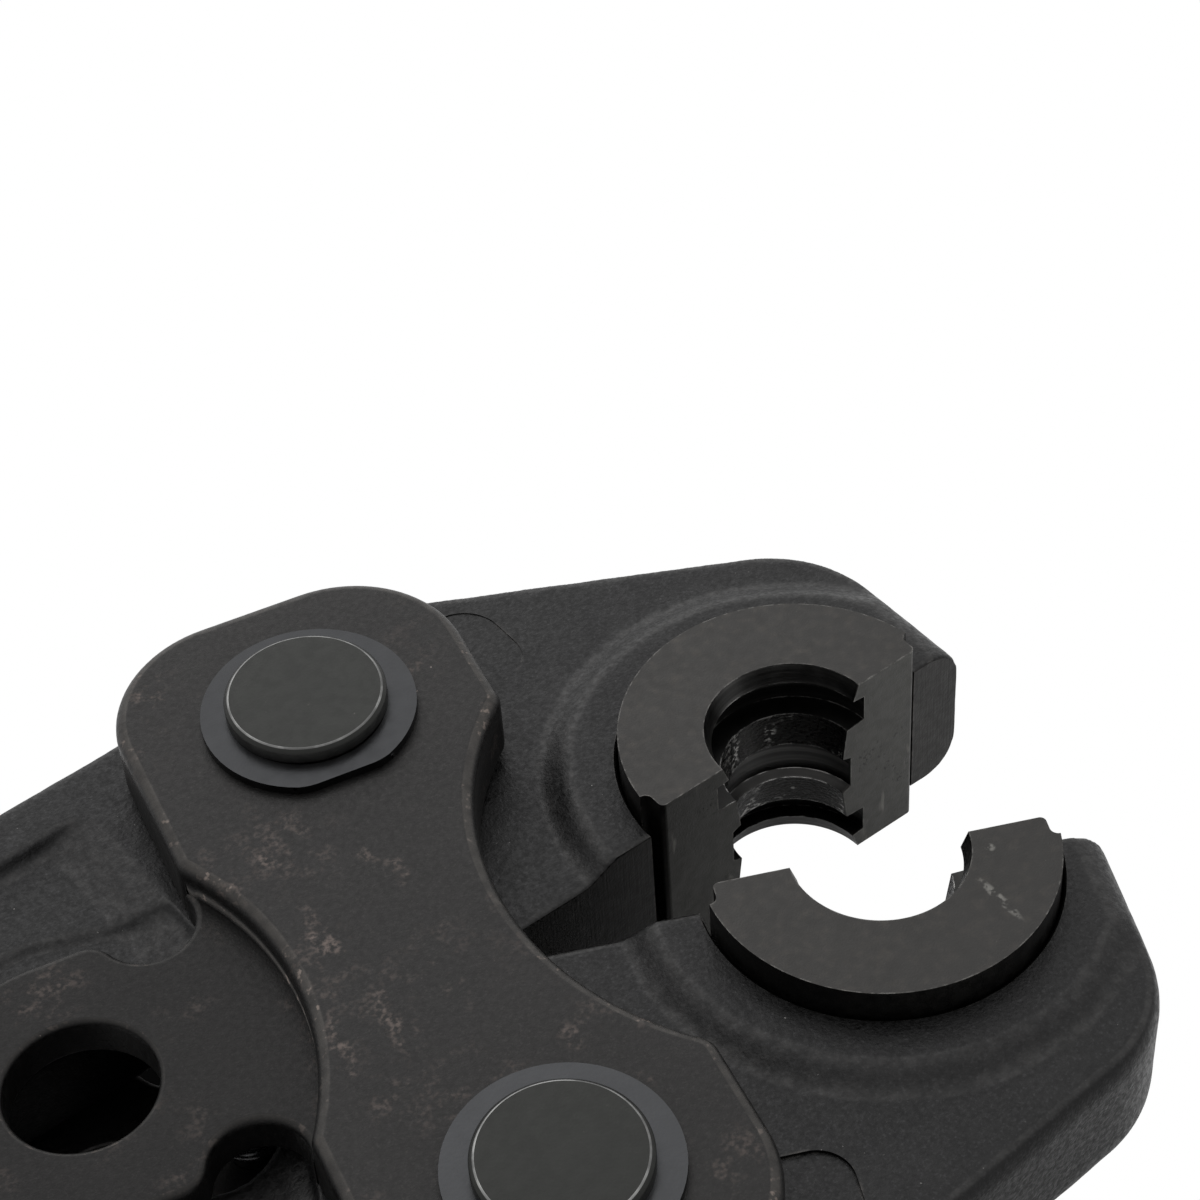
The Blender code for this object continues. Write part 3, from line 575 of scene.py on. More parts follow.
def pressed_face():
    """The dies' parting faces, rubbed paler by closing on each other."""

    def colour():
        base = blended(grain(0.003, 5.0), *PARTING)
        specked = tinted(base, specks(0.0004, 0.57), 0.7, PARTING_SPECK)
        scratches = between(grain(0.0005, 3.0, UPRIGHT_SCRATCH), 0.63, 0.74)
        scratched = tinted(specked, scratches, 0.5, PARTING_SCRATCH)
        return blended(edge_wear(0.0003, 0.02, 0.2, 0.0007, 0.8), scratched, PARTING_EDGE)

    return steel("pressed_face", colour, (0.001, 3.0, 0.36, 0.48), ((0.00022, 3.0, 0.00002),))


def bore_edge_wear(colour):
    """The bright edges of a bore's steps, over its colour."""
    return blended(edge_wear(0.00022, 0.015, 0.12, 0.0016, 0.95), colour, BORE_EDGE)


def oily_bore():
    """The dies' bores: turned in fine rings, dark and wet with oil, with painted shade on their level
    ledges.
    """

    def colour():
        rings = between(grain(0.0005, 3.0, TURNED), 0.35, 0.7)
        # Level ledges painted darker than the bore's walls: painted shade.
        ledges_painted_darker = scaled(blended(rings, *BORE), between(slope(), 0.25, 0.7, 1.0, 0.42))
        return bore_edge_wear(ledges_painted_darker)

    bumps = ((0.0003, 2.0, 0.00003, TURNED), (0.0004, 3.0, 0.00001))
    return steel("oily_bore", colour, (0.0015, 3.0, 0.3, 0.36), bumps, spread=0.15)


def torn_ridge():
    """The bore's ridges, dragged and torn bright by the fittings."""

    def colour():
        patches = between(grain(0.0042, 2.0), 0.5, 0.62)
        torn = times(between(grain(0.0003, 4.0, DRAGGED), 0.48, 0.62), patches)
        return bore_edge_wear(blended(torn, *RIDGE))

    return steel("torn_ridge", colour, (0.0004, 3.0, 0.2, 0.42), ((0.0003, 4.0, 0.00008, DRAGGED),))


def pin_steel():
    def colour():
        base = blended(grain(0.003, 4.0), *PIN)
        scuffed = tinted(base, specks(0.0004, 0.7), 0.5, WORN)
        # The side walls are painted lighter than the head's top: painted light.
        wall = between(slope(), 0.15, 0.55, 0.7, 0.0)
        return blended(wall, scuffed, PIN_WALL_PAINTED_LIGHT)

    return steel("pin_steel", colour, (0.001, 3.0, 0.34, 0.44), ((0.0003, 2.0, 0.000012),))


def worn_ring():
    """The bright ring worn on the edge of a pin's head."""

    def colour():
        return blended(between(grain(0.0022, 3.0), 0.3, 0.7), *PIN_RING)

    return steel("worn_ring", colour, (0.0006, 3.0, 0.28, 0.4))


def washer_steel(name, tone):
    """Blued sheet steel, paler where the tone is higher, with painted shade on its wall and a bright thin
    rim that is partly wear and partly a painted highlight.
    """

    def colour():
        toned = scaled(blended(grain(0.004, 3.0), *WASHER), tone)
        # The wall is painted darker than the flat faces: painted shade.
        wall = between(slope(), 0.05, 0.45, 0.6, 0.0)
        # Bright band on the rounded rims: partly wear, partly a painted highlight.
        uneven = between(grain(0.003, 3.0), 0.34, 0.6)
        rim = times(rim_share(0.5, 0.75, 0.94), uneven)
        return blended(times(rim, 0.8), blended(wall, toned, WASHER_WALL_PAINTED_SHADE), WASHER_RIM_WEAR_AND_SHEEN)

    return steel(name, colour, (0.002, 3.0, 0.3, 0.4), ((0.0004, 2.0, 0.000012),))


def spring_steel():
    def colour():
        return blended(grain(0.001, 3.0), *SPRING)

    return steel("spring_steel", colour, (0.0006, 3.0, 0.22, 0.36))


# Camera and stage


def make_camera():
    azimuth, elevation, roll = (math.radians(a) for a in (CAMERA_AZIMUTH, CAMERA_ELEVATION, CAMERA_ROLL))
    level_share = math.cos(elevation)
    away = Vector((math.sin(azimuth) * level_share, -math.cos(azimuth) * level_share, math.sin(elevation)))
    level = (-away).cross(Vector((0, 0, 1))).normalized()
    upright = level.cross(-away)
    right = level * math.cos(roll) + upright * math.sin(roll)
    up = upright * math.cos(roll) - level * math.sin(roll)
    target = MIDDLE + Vector((*CAMERA_TARGET, PLATE_OUTER_Z))
    matrix = Matrix((right, up, away)).transposed().to_4x4()
    matrix.translation = target + away * CAMERA_DISTANCE
    data = bpy.data.cameras.new("camera")
    data.sensor_width = SENSOR
    data.lens = SENSOR * FOCAL_SHARE
    data.clip_start = CLIP_START
    camera = bpy.data.objects.new("camera", data)
    camera.matrix_world = matrix
    bpy.context.scene.collection.objects.link(camera)
    bpy.context.scene.camera = camera


def make_lamp():
    """One soft lamp behind the jaw."""
    data = bpy.data.lights.new("lamp_behind", "AREA")
    data.shape = "DISK"
    data.size = LAMP_SIZE
    data.energy = LAMP_POWER
    light = bpy.data.objects.new("lamp_behind", data)
    light.location = LAMP_PLACE
    light.rotation_euler = (Vector(LAMP_AIM) - Vector(LAMP_PLACE)).to_track_quat("-Z", "Y").to_euler()
    light.visible_camera = False
    bpy.context.scene.collection.objects.link(light)


def shade_under_stem():
    """The floor's brightness: 1, but dark in the closed space beside the stem's root."""
    away = add("VectorMath", {0: place_of(), 1: SHADE_PLACE}, operation="DISTANCE").outputs["Value"]
    return between(away, SHADE_RADIUS / 2, SHADE_RADIUS, SHADE_LEVEL, 1.0)


def seen_or_lit(lit, seen):
    """One shader for the light that the jaw gets and another for what the camera sees."""
    rays = add("LightPath")
    mix = add("MixShader", {0: rays.outputs["Is Camera Ray"], 1: lit.outputs[0], 2: seen.outputs[0]})
    return mix.outputs[0]


def make_stage():
    """A wide pale floor in a pale room, brightest behind the jaw."""
    bpy.ops.mesh.primitive_plane_add(size=FLOOR_SIZE, location=(0, 0, -FLOOR_GAP))
    floor = bpy.context.object
    floor.name = "floor"
    material = bpy.data.materials.new("pale_floor")
    open_tree(material).nodes.clear()
    paint = add("BsdfDiffuse", {"Color": FLOOR_PAINT})
    seen = add("Emission", {"Color": WHITE, "Strength": shade_under_stem()})
    add("OutputMaterial", {"Surface": seen_or_lit(paint, seen)})
    floor.data.materials.append(material)

    world = bpy.data.worlds.new("room")
    open_tree(world).nodes.clear()
    direction = add("TexCoord").outputs["Generated"]
    glow = between(dot(direction, BRIGHT_SIDE), DIM_FROM, 1.0, ROOM_DIM, ROOM_BRIGHT)
    room = add("Background", {"Color": WHITE, "Strength": glow})
    seen = add("Background", {"Color": WHITE, "Strength": 1.0})
    add("OutputWorld", {"Surface": seen_or_lit(room, seen)})
    bpy.context.scene.world = world
    bpy.context.scene.view_settings.view_transform = "Standard"


# Outlines


def arc(centre, radius, start, end, steps):
    """Points on a circle from one angle to another, both included."""
    angles = [start + (end - start) * i / steps for i in range(steps + 1)]
    return [(centre[0] + radius * math.cos(a), centre[1] + radius * math.sin(a)) for a in angles]


def circle(centre, radius, steps):
    return arc(centre, radius, 0, math.tau * (1 - 1 / steps), steps - 1)


def eased_share(t):
    """From 0 to 1 along a curve that starts and ends level."""
    return t * t * (3 - 2 * t)


def rounded(corners, step=FINE_STEP):
    """A polygon from (x, y, fillet radius) corners, each fillet an arc that meets both sides smoothly."""
    points = []
    for i, (x, y, radius) in enumerate(corners):
        here = Vector((x, y))
        back = (Vector(corners[i - 1][:2]) - here).normalized()
        ahead = (Vector(corners[(i + 1) % len(corners)][:2]) - here).normalized()
        if radius == 0:
            points.append(tuple(here))
            continue
        half = back.angle(ahead) / 2
        centre = here + (back + ahead).normalized() * radius / math.sin(half)
        start = here + back * radius / math.tan(half) - centre
        end = here + ahead * radius / math.tan(half) - centre
        sweep = start.angle_signed(end)
        steps = max(2, round(abs(sweep) / step))
        points += [tuple(centre + Matrix.Rotation(-sweep * k / steps, 2) @ start) for k in range(steps + 1)]
    return points


def with_ends(points, radius):
    """A curve's points as corners for an outline, with fillets at its two ends only."""
    return [(*points[0], radius), *((x, y, 0) for x, y in points[1:-1]), (*points[-1], radius)]


# Solids


def object_of(mesh, name="blank"):
    obj = bpy.data.objects.new(name, mesh)
    bpy.context.scene.collection.objects.link(obj)
    return obj


def object_from(shape):
    mesh = bpy.data.meshes.new("blank")
    shape.to_mesh(mesh)
    shape.free()
    return object_of(mesh)


def mesh_of(obj):
    """The object's evaluated mesh, welded where a curve's caps meet its sides. The object goes."""
    bpy.context.view_layer.update()
    graph = bpy.context.evaluated_depsgraph_get()
    mesh = bpy.data.meshes.new_from_object(obj.evaluated_get(graph))
    mesh.transform(obj.matrix_world)
    mesh.materials.clear()
    shape = bmesh.new()
    shape.from_mesh(mesh)
    bmesh.ops.remove_doubles(shape, verts=shape.verts, dist=WELD_GAP)
    bmesh.ops.recalc_face_normals(shape, faces=shape.faces)
    shape.to_mesh(mesh)
    shape.free()
    bpy.data.objects.remove(obj)
    return mesh


def add_line(curve, points):
    line = curve.splines.new("POLY")
    line.points.add(len(points) - 1)
    for point, place in zip(line.points, points):
        point.co = (*place, 1)
    return line


def extruded(loops, low, high, rim=0, segments=4):
    """A flat outline, with any holes, between two heights, its edges rounded where a rim is given."""
    curve = bpy.data.curves.new("outline", "CURVE")
    curve.dimensions = "2D"
    curve.fill_mode = "BOTH"
    curve.extrude = (high - low) / 2 - rim
    curve.bevel_depth = rim
    curve.offset = -rim
    curve.bevel_resolution = segments
    for loop in loops:
        add_line(curve, [(x, y, 0) for x, y in loop]).use_cyclic_u = True
    obj = object_of(curve)
    obj.location.z = (low + high) / 2
    return object_of(mesh_of(obj))


def turned(profile, steps, closed=False):
    """A solid turned about Z from (radius, height) points, which run down its outer side."""
    shape = bmesh.new()
    verts = [shape.verts.new((radius, 0, height)) for radius, height in profile]
    pairs = list(zip(verts, verts[1:]))
    if closed:
        pairs.append((verts[-1], verts[0]))
    for pair in pairs:
        shape.edges.new(pair)
    obj = object_from(shape)
    screw = obj.modifiers.new("turn", "SCREW")
    screw.steps = screw.render_steps = steps
    screw.use_merge_vertices = True
    screw.merge_threshold = WELD_GAP
    return object_of(mesh_of(obj))


def cylinder(centre, radius, low, high, steps=ROUND_STEPS):
    shape = bmesh.new()
    tall = high - low
    bmesh.ops.create_cone(shape, cap_ends=True, segments=steps, radius1=radius, radius2=radius, depth=tall)
    bmesh.ops.translate(shape, verts=shape.verts, vec=(*centre, (low + high) / 2))
    return object_from(shape)


def box(low, high):
    low, high = Vector(low), Vector(high)
    shape = bmesh.new()
    bmesh.ops.create_cube(shape, size=1)
    bmesh.ops.scale(shape, verts=shape.verts, vec=high - low)
    bmesh.ops.translate(shape, verts=shape.verts, vec=(low + high) / 2)
    return object_from(shape)


def wire(points, radius):
    """A round wire along a line of points."""
    curve = bpy.data.curves.new("wire", "CURVE")
    curve.dimensions = "3D"
    curve.bevel_depth = radius
    curve.bevel_resolution = 4
    curve.use_fill_caps = True
    add_line(curve, points)
    return object_of(mesh_of(object_of(curve)))


def moved(obj, matrix):
    obj.data.transform(matrix)
    return obj


def cut(obj, *cutters, operation="DIFFERENCE", solver="EXACT"):
    """Takes each cutter out of the object in turn and returns what is left."""
    for cutter in cutters:
        boolean = obj.modifiers.new("cut", "BOOLEAN")
        boolean.operation = operation
        boolean.solver = solver
        boolean.object = cutter
    mesh = mesh_of(obj)
    for cutter in cutters:
        bpy.data.objects.remove(cutter)
    return object_of(mesh)


def eased(obj, width, segments, angle=EASE_ANGLE):
    """Rounds the object's sharp edges."""
    bevel = obj.modifiers.new("ease", "BEVEL")
    bevel.width = width
    bevel.segments = segments
    bevel.limit_method = "ANGLE"
    bevel.angle_limit = angle
    return object_of(mesh_of(obj))


def levelled(obj):
    """Joins the facets that lie in one plane, so that edges are rounded cleanly."""
    shape = bmesh.new()
    shape.from_mesh(obj.data)
    bmesh.ops.dissolve_limit(shape, angle_limit=LEVEL_ANGLE, verts=shape.verts, edges=shape.edges)
    shape.to_mesh(obj.data)
    shape.free()
    return obj


def both_sides(cutter, *values):
    """The cutter that a function makes, and its mirror image below the jaw's middle plane."""
    lower = cutter(*values)
    lower.data.transform(Matrix.Scale(-1, 4, (0, 0, 1)))
    lower.data.flip_normals()
    return [cutter(*values), lower]


# Pieces

LEFT = Matrix.Translation(PIVOT) @ Matrix.Rotation(OPEN_ANGLE, 4, "Z")
RIGHT = (
    Matrix.Translation((PIVOT.x, -PIVOT.y, PIVOT.z))
    @ Matrix.Rotation(-OPEN_ANGLE, 4, "Z")
    @ Matrix.Rotation(math.pi, 4, "X")
)
LEFT_PIN = Matrix.Translation(PIVOT)
RIGHT_PIN = Matrix.Translation((PIVOT.x, -PIVOT.y, PIVOT.z))
JAW = Matrix.Translation(MIDDLE)
UPSIDE_DOWN = JAW @ Matrix.Rotation(math.pi, 4, "X")
DIE_AXIS = Matrix.Translation((DIE_X, 0, 0))


def show(mesh, name, place, body, node, slot, *materials):
    """A finished mesh as a piece that stands for its CAD node."""
    piece = object_of(mesh.copy(), name)
    piece.data.transform(place)
    if place.determinant() < 0:
        piece.data.flip_normals()
    for material in materials:
        piece.data.materials.append(material)
    piece.data.shade_smooth()
    piece.data.set_sharp_from_angle(angle=SHARP_ANGLE)
    smooth = piece.modifiers.new("even_shading", "WEIGHTED_NORMAL")
    smooth.keep_sharp = True
    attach(piece, body)
    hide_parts(node)
    return piece


def taken(obj):
    """The object's mesh. The object goes."""
    mesh = obj.data
    bpy.data.objects.remove(obj)
    return mesh


# Side plates


def waist():
    """The head's hollow front edge from its lower corner to its upper one, as corners to be rounded."""
    centre_x = WAIST_FRONT_X + WAIST_RADIUS
    spread = math.acos((centre_x - HEAD_FRONT_X) / WAIST_RADIUS)
    points = arc((centre_x, 0), WAIST_RADIUS, math.pi + spread, math.pi - spread, 40)
    return with_ends(points, WAIST_CORNER_RADIUS)


def relief_edge():
    """The stem's root at +Y, from the head's back edge round the relief and by a fillet to the stem."""
    stem_y = STEM_WIDTH / 2
    centre_x = RELIEF_BITE + HEAD_BACK_X - RELIEF_RADIUS
    reach = RELIEF_RADIUS + RELIEF_FILLET
    tilt = math.acos((reach - RELIEF_BITE) / reach)
    lean = math.asin(RELIEF_FILLET / reach)
    head_fillet = (RELIEF_FILLET + HEAD_BACK_X, stem_y + reach * math.sin(tilt))
    stem_fillet = (centre_x - reach * math.cos(lean), stem_y - RELIEF_FILLET)
    return [
        *arc(head_fillet, RELIEF_FILLET, math.pi, math.pi + tilt, 4),
        *arc((centre_x, stem_y), RELIEF_RADIUS, tilt, lean - math.pi, 40)[1:],
        *arc(stem_fillet, RELIEF_FILLET, lean, math.pi / 2, 12)[1:],
    ]


def eased_hole(centre, radius, low, high, edge):
    """Cuts a hole whose two rims are rounded."""
    quarter = arc((radius + edge, high - edge), edge, math.pi, math.pi / 2, 5)
    lower = [(r, low + high - z) for r, z in quarter]
    top, bottom = high + CUT_REACH, low - CUT_REACH
    rim = radius + edge
    profile = [(0, top), (rim, top), *reversed(quarter), *lower, (rim, bottom), (0, bottom)]
    return moved(turned(profile, HOLE_STEPS), Matrix.Translation((*centre, 0)))


def side_plate():
    """A T-shaped plate: a thick waisted head over both pins and a thinner stem that holds the tool's pin."""
    head_y = HEAD_WIDTH / 2
    step_x = SHOULDER_X - WAIST_RADIUS
    spread = math.acos((HEAD_BACK_X - step_x) / WAIST_RADIUS)
    step = arc((step_x, 0), WAIST_RADIUS, spread, -spread, 32)
    head_corners = [
        (HEAD_FRONT_X, -head_y, HEAD_CORNER_RADIUS),
        *waist(),
        (HEAD_FRONT_X, head_y, HEAD_CORNER_RADIUS),
        (HEAD_BACK_X, head_y, HEAD_CORNER_RADIUS),
        *with_ends(step, STEP_END_RADIUS),
        (HEAD_BACK_X, -head_y, HEAD_CORNER_RADIUS),
    ]
    relief = relief_edge()
    root = (HEAD_BACK_X / 2, relief[0][1])
    stem_points = [
        root,
        *relief,
        *arc((TOOL_PIN_X, 0), STEM_WIDTH / 2, math.pi / 2, 1.5 * math.pi, 60),
        *((x, -y) for x, y in reversed(relief)),
        (root[0], -root[1]),
    ]
    stem_top = PLATE_INNER_Z + STEM_THICKNESS
    head = extruded([rounded(head_corners)], PLATE_INNER_Z, PLATE_OUTER_Z, rim=PLATE_EDGE_RADIUS, segments=5)
    stem = extruded([stem_points], PLATE_INNER_Z, stem_top, rim=STEM_EDGE_RADIUS, segments=4)
    low, high = PLATE_INNER_Z - CUT_REACH, PLATE_OUTER_Z + CUT_REACH
    sink = PLATE_INNER_Z + SPRING_POST_SINK
    holes = [
        eased_hole((TOOL_PIN_X, 0), TOOL_PIN_RADIUS, PLATE_INNER_Z, stem_top, TOOL_PIN_EASE),
        cylinder((0, PIN_Y), PIN_RADIUS + PIN_CLEARANCE, low, high),
        cylinder((0, -PIN_Y), PIN_RADIUS + PIN_CLEARANCE, low, high),
        cylinder((SPRING_POST_X, 0), SPRING_POST_RADIUS + PIN_CLEARANCE, low, sink, 32),
    ]
    return taken(cut(cut(head, stem, operation="UNION"), *holes))


# Arms, in the frame of their own pivot pin


def flank_y(x):
    """Where the arm's slanted outer edge passes at x."""
    return ARM_OUTER_Y - (x - ARM_SHOULDER_X) * math.tan(ARM_FLANK_ANGLE)


def arm_outline():
    return rounded(
        [
            (ARM_TIP_X, -BLANK_ALLOWANCE, 0),
            (ARM_TIP_X, flank_y(ARM_TIP_X), ARM_TIP_RADIUS),
            (ARM_SHOULDER_X, ARM_OUTER_Y, ARM_SHOULDER_RADIUS),
            (ARM_REAR_OUTER_X, ARM_REAR_OUTER_Y, ARM_REAR_RADIUS),
            (ARM_REAR_X, ARM_NOSE_Y, ARM_NOSE_RADIUS),
            (ARM_REAR_X, CAM_MOUTH_Y, CAM_MOUTH_RADIUS),
            (CAM_REAR_X, CAM_Y, CAM_REAR_RADIUS),
            (CAM_FRONT_X, CAM_Y, CAM_FRONT_RADIUS),
            (HEEL_X, -BLANK_ALLOWANCE, 0),
        ]
    )


def ring_blend(steps=16):
    """The forged blend from the ring's top down to the web, as (radius, height) points going outwards."""
    points = []
    for i in range(steps + 1):
        radius = RING_TOP_RADIUS + (RING_FOOT_RADIUS - RING_TOP_RADIUS) * (i / steps)
        points.append((radius, RING_HALF - (RING_HALF - WEB_HALF) * eased_share(i / steps)))
    return points


def web_cutter():
    """Takes the blank down to the web's thickness all round the ring that carries the die."""
    top = RING_HALF + CUT_REACH
    outer = [(RING_TOP_RADIUS, top), (BLANK_REACH, top), (BLANK_REACH, WEB_HALF)]
    profile = [*outer, *reversed(ring_blend())]
    return moved(turned(profile, BLEND_STEPS, closed=True), DIE_AXIS)


def hollow(corners, below, depth):
    """Cuts to a depth below a floor that already lies below the web, with soft walls."""
    floor = WEB_HALF - below - depth
    outline = rounded(corners, COARSE_STEP)
    return extruded([outline], floor, WEB_HALF + CUT_REACH, rim=depth * HOLLOW_RIM_SHARE)


def pocket_cutter():
    """The forged hollow behind the hub, which runs out to the arm's inner edge."""
    corners = [
        (POCKET_FRONT_X, 0, 0),
        (POCKET_FRONT_X, POCKET_OUTER_Y, POCKET_CORNER_RADIUS),
        (POCKET_REAR_OUTER_X, POCKET_REAR_OUTER_Y, POCKET_CORNER_RADIUS),
        (POCKET_REAR_X, POCKET_REAR_Y, POCKET_CORNER_RADIUS),
        (POCKET_REAR_X, 0, 0),
    ]
    return hollow(corners, 0, POCKET_DEPTH)


def terrace_cutter():
    """The lower terrace of the hollow, beside the roller's track."""
    corners = [
        (POCKET_FRONT_X - TERRACE_INSET, 0, 0),
        (POCKET_FRONT_X - TERRACE_INSET, TERRACE_FRONT_Y, POCKET_CORNER_RADIUS / 2),
        (TERRACE_LOW_X, TERRACE_FRONT_Y, TERRACE_CORNER_RADIUS),
        (TERRACE_HIGH_X, TERRACE_HIGH_Y, TERRACE_CORNER_RADIUS),
        (POCKET_REAR_X + TERRACE_INSET, TERRACE_REAR_Y, TERRACE_CORNER_RADIUS),
        (POCKET_REAR_X + TERRACE_INSET, 0, 0),
    ]
    return hollow(corners, POCKET_DEPTH, TERRACE_DEPTH)


def raise_front(mesh):
    """Lifts the hollow's floor towards the hub, so that the hollow fades out in front of the side plate."""
    for vertex in mesh.vertices:
        x, y, z = vertex.co
        below = WEB_HALF - abs(z)
        inside = x < POCKET_FRONT_X + POCKET_CORNER_RADIUS and y < POCKET_OUTER_Y + POCKET_DEPTH
        if not inside or below <= 0 or below > POCKET_DEPTH * 2:
            continue
        back = min(1, max(0, (POCKET_FRONT_X - x) / POCKET_RAMP))
        lift = min(below, POCKET_DEPTH) * (1 - eased_share(back))
        vertex.co.z += math.copysign(lift, z)


def seat_mark_cutter(depth):
    """The shallow milled step in front of the side plate."""
    inner_y = PIN_Y - SEAT_MARK_INNER
    outer_y = PIN_Y + SEAT_MARK_OUTER
    corners = [
        (SEAT_MARK_START, inner_y, 0),
        (SEAT_MARK_REACH, inner_y, SEAT_MARK_INNER_RADIUS),
        (SEAT_MARK_REACH, outer_y, SEAT_MARK_OUTER_RADIUS),
        (SEAT_MARK_START, outer_y, 0),
    ]
    return extruded([rounded(corners)], WEB_HALF - depth, WEB_HALF + CUT_REACH)


def seat_cutter():
    """The die's seat. At the tip it leaves the lip that the die's notch hooks over."""
    radius = DIE_RADIUS + DIE_SEAT_CLEARANCE
    flare = radius + DIE_SEAT_CHAMFER + CUT_REACH
    neck = RING_HALF - DIE_SEAT_CHAMFER
    top = RING_HALF + CUT_REACH
    profile = [(0, top), (flare, top), (radius, neck), (radius, -neck), (flare, -top), (0, -top)]
    lip_end = DIE_RADIUS - DIE_NOTCH_DEPTH + LIP_GAP
    lip_height = DIE_NOTCH_HEIGHT - DIE_SEAT_CLEARANCE
    lip = box((lip_end, -BLANK_REACH, -BLANK_REACH), (BLANK_REACH, lip_height, BLANK_REACH))
    return moved(cut(turned(profile, DIE_STEPS), lip), DIE_AXIS)


def detent_frame():
    """Turns +Z of a turned piece along the detent's bore, out from the die's axis."""
    direction = Vector((math.sin(ARM_FLANK_ANGLE), math.cos(ARM_FLANK_ANGLE), 0))
    turn = direction.to_track_quat("Z", "X").to_matrix().to_4x4()
    return DIE_AXIS @ turn


def skin(mesh, seed):
    """Gives a forged blank its uneven skin: broad swells with a finer grain on them."""
    shift = Vector((seed, 0, 0))
    mesh.update()
    normals = [vertex.normal.copy() for vertex in mesh.vertices]
    for vertex, normal in zip(mesh.vertices, normals):
        swell = noise.noise(vertex.co / SWELL_SIZE + shift)
        dimple = noise.noise(vertex.co / DIMPLE_SIZE + shift)
        vertex.co += normal * (swell * SWELL_DEPTH + dimple * DIMPLE_DEPTH - SWELL_DEPTH)


def arm(seed, mark_depth):
    """A forging, given a rounded and uneven skin first and then machined where the real one is."""
    pivot = Matrix.Translation((0, PIN_Y, 0))
    swung = pivot @ Matrix.Rotation(-OPEN_ANGLE, 4, "Z") @ pivot.inverted()

    def below(y):
        return box((-CUTTER_BEYOND, CUTTER_BELOW, -CUTTER_TALL), (CUTTER_BEYOND, y, CUTTER_TALL))

    def faces(stock):
        """Cutters of the parting face and of the face that stops the arms' opening."""
        return [below(PARTING_GAP - stock), moved(below(STOP_GAP - stock), swung)]

    blank = extruded([arm_outline()], -RING_HALF, RING_HALF, rim=ARM_RIM_RADIUS, segments=6)
    forge_cuts = [*both_sides(web_cutter), *both_sides(pocket_cutter), *both_sides(terrace_cutter)]
    blank = cut(blank, *forge_cuts, *faces(RAW_STOCK))
    remesh = blank.modifiers.new("grain", "REMESH")
    remesh.mode = "VOXEL"
    remesh.voxel_size = FORGED_VOXEL
    smooth = blank.modifiers.new("soften", "SMOOTH")
    smooth.factor = SOFTENING
    smooth.iterations = SOFTENING_ROUNDS
    blank = object_of(mesh_of(blank))
    raise_front(blank.data)
    skin(blank.data, seed)

    detent = (DIE_RADIUS - CUT_REACH, DIE_RADIUS + DETENT_BORE_DEPTH)
    cutters = [
        *both_sides(seat_mark_cutter, mark_depth),
        seat_cutter(),
        cylinder((0, PIN_Y), PIN_RADIUS + PIN_CLEARANCE, -CUTTER_TALL, CUTTER_TALL),
        moved(cylinder((0, 0), DETENT_BORE_RADIUS, *detent, 48), detent_frame()),
        *faces(0),
    ]
    machined = cut(blank, *cutters, solver="MANIFOLD")
    mesh = taken(moved(machined, pivot.inverted()))
    mark_machined(mesh)
    return mesh


def mark_machined(mesh):
    """Gives the second material to the machined faces: the seat, the parting and stop faces and the bore."""
    die_axis = Vector((DIE_X, -PIN_Y))
    opened = Matrix.Rotation(OPEN_ANGLE, 2)
    seat = DIE_RADIUS + DIE_SEAT_CLEARANCE
    for polygon in mesh.polygons:
        centre = polygon.center
        flat = Vector((centre.x, centre.y))
        from_die = (flat - die_axis).length
        in_seat = from_die < seat + DIE_SEAT_CHAMFER + MARK_MARGIN and abs(polygon.normal.z) < 0.9
        on_parting = centre.y + PIN_Y < PARTING_GAP + MARK_MARGIN
        on_stop = (opened @ flat).y + PIN_Y < STOP_GAP + MARK_MARGIN
        in_bore = flat.length < PIN_RADIUS + PIN_CLEARANCE + MARK_MARGIN
        polygon.material_index = 1 if in_seat or on_parting or on_stop or in_bore else 0


# Dies


def bore_profile():
    """Half of the bore's section from the middle plane out to the die's face, as (radius, height) points."""
    lip = DIE_HALF - LIP_WIDTH
    bead = lip - BEAD_WIDTH
    ridge = bead - RIDGE_WIDTH
    return [
        (LAND_RADIUS, ridge - 2 * BORE_EASE),
        (RIDGE_INNER_RADIUS, ridge),
        (RIDGE_OUTER_RADIUS, bead - BORE_EASE),
        (BEAD_RADIUS, bead),
        (BEAD_RADIUS, lip - BORE_EASE),
        (LIP_INNER_RADIUS, lip),
        (LIP_RADIUS, DIE_HALF),
    ]


def die_outline():
    """What is kept of the ring: the half above the parting face, with a rounded notch at each end of it."""
    beyond = DIE_RADIUS + CUT_REACH
    end = DIE_RADIUS - DIE_NOTCH_DEPTH
    return rounded(
        [
            (end, DIE_PARTING_GAP, DIE_CORNER_RADIUS),
            (end, DIE_NOTCH_HEIGHT, DIE_NOTCH_RADIUS),
            (beyond, DIE_NOTCH_HEIGHT, 0),
            (beyond, beyond, 0),
            (-beyond, beyond, 0),
            (-beyond, DIE_NOTCH_HEIGHT, 0),
            (-end, DIE_NOTCH_HEIGHT, DIE_NOTCH_RADIUS),
            (-end, DIE_PARTING_GAP, DIE_CORNER_RADIUS),
        ],
        NOTCH_STEP,
    )


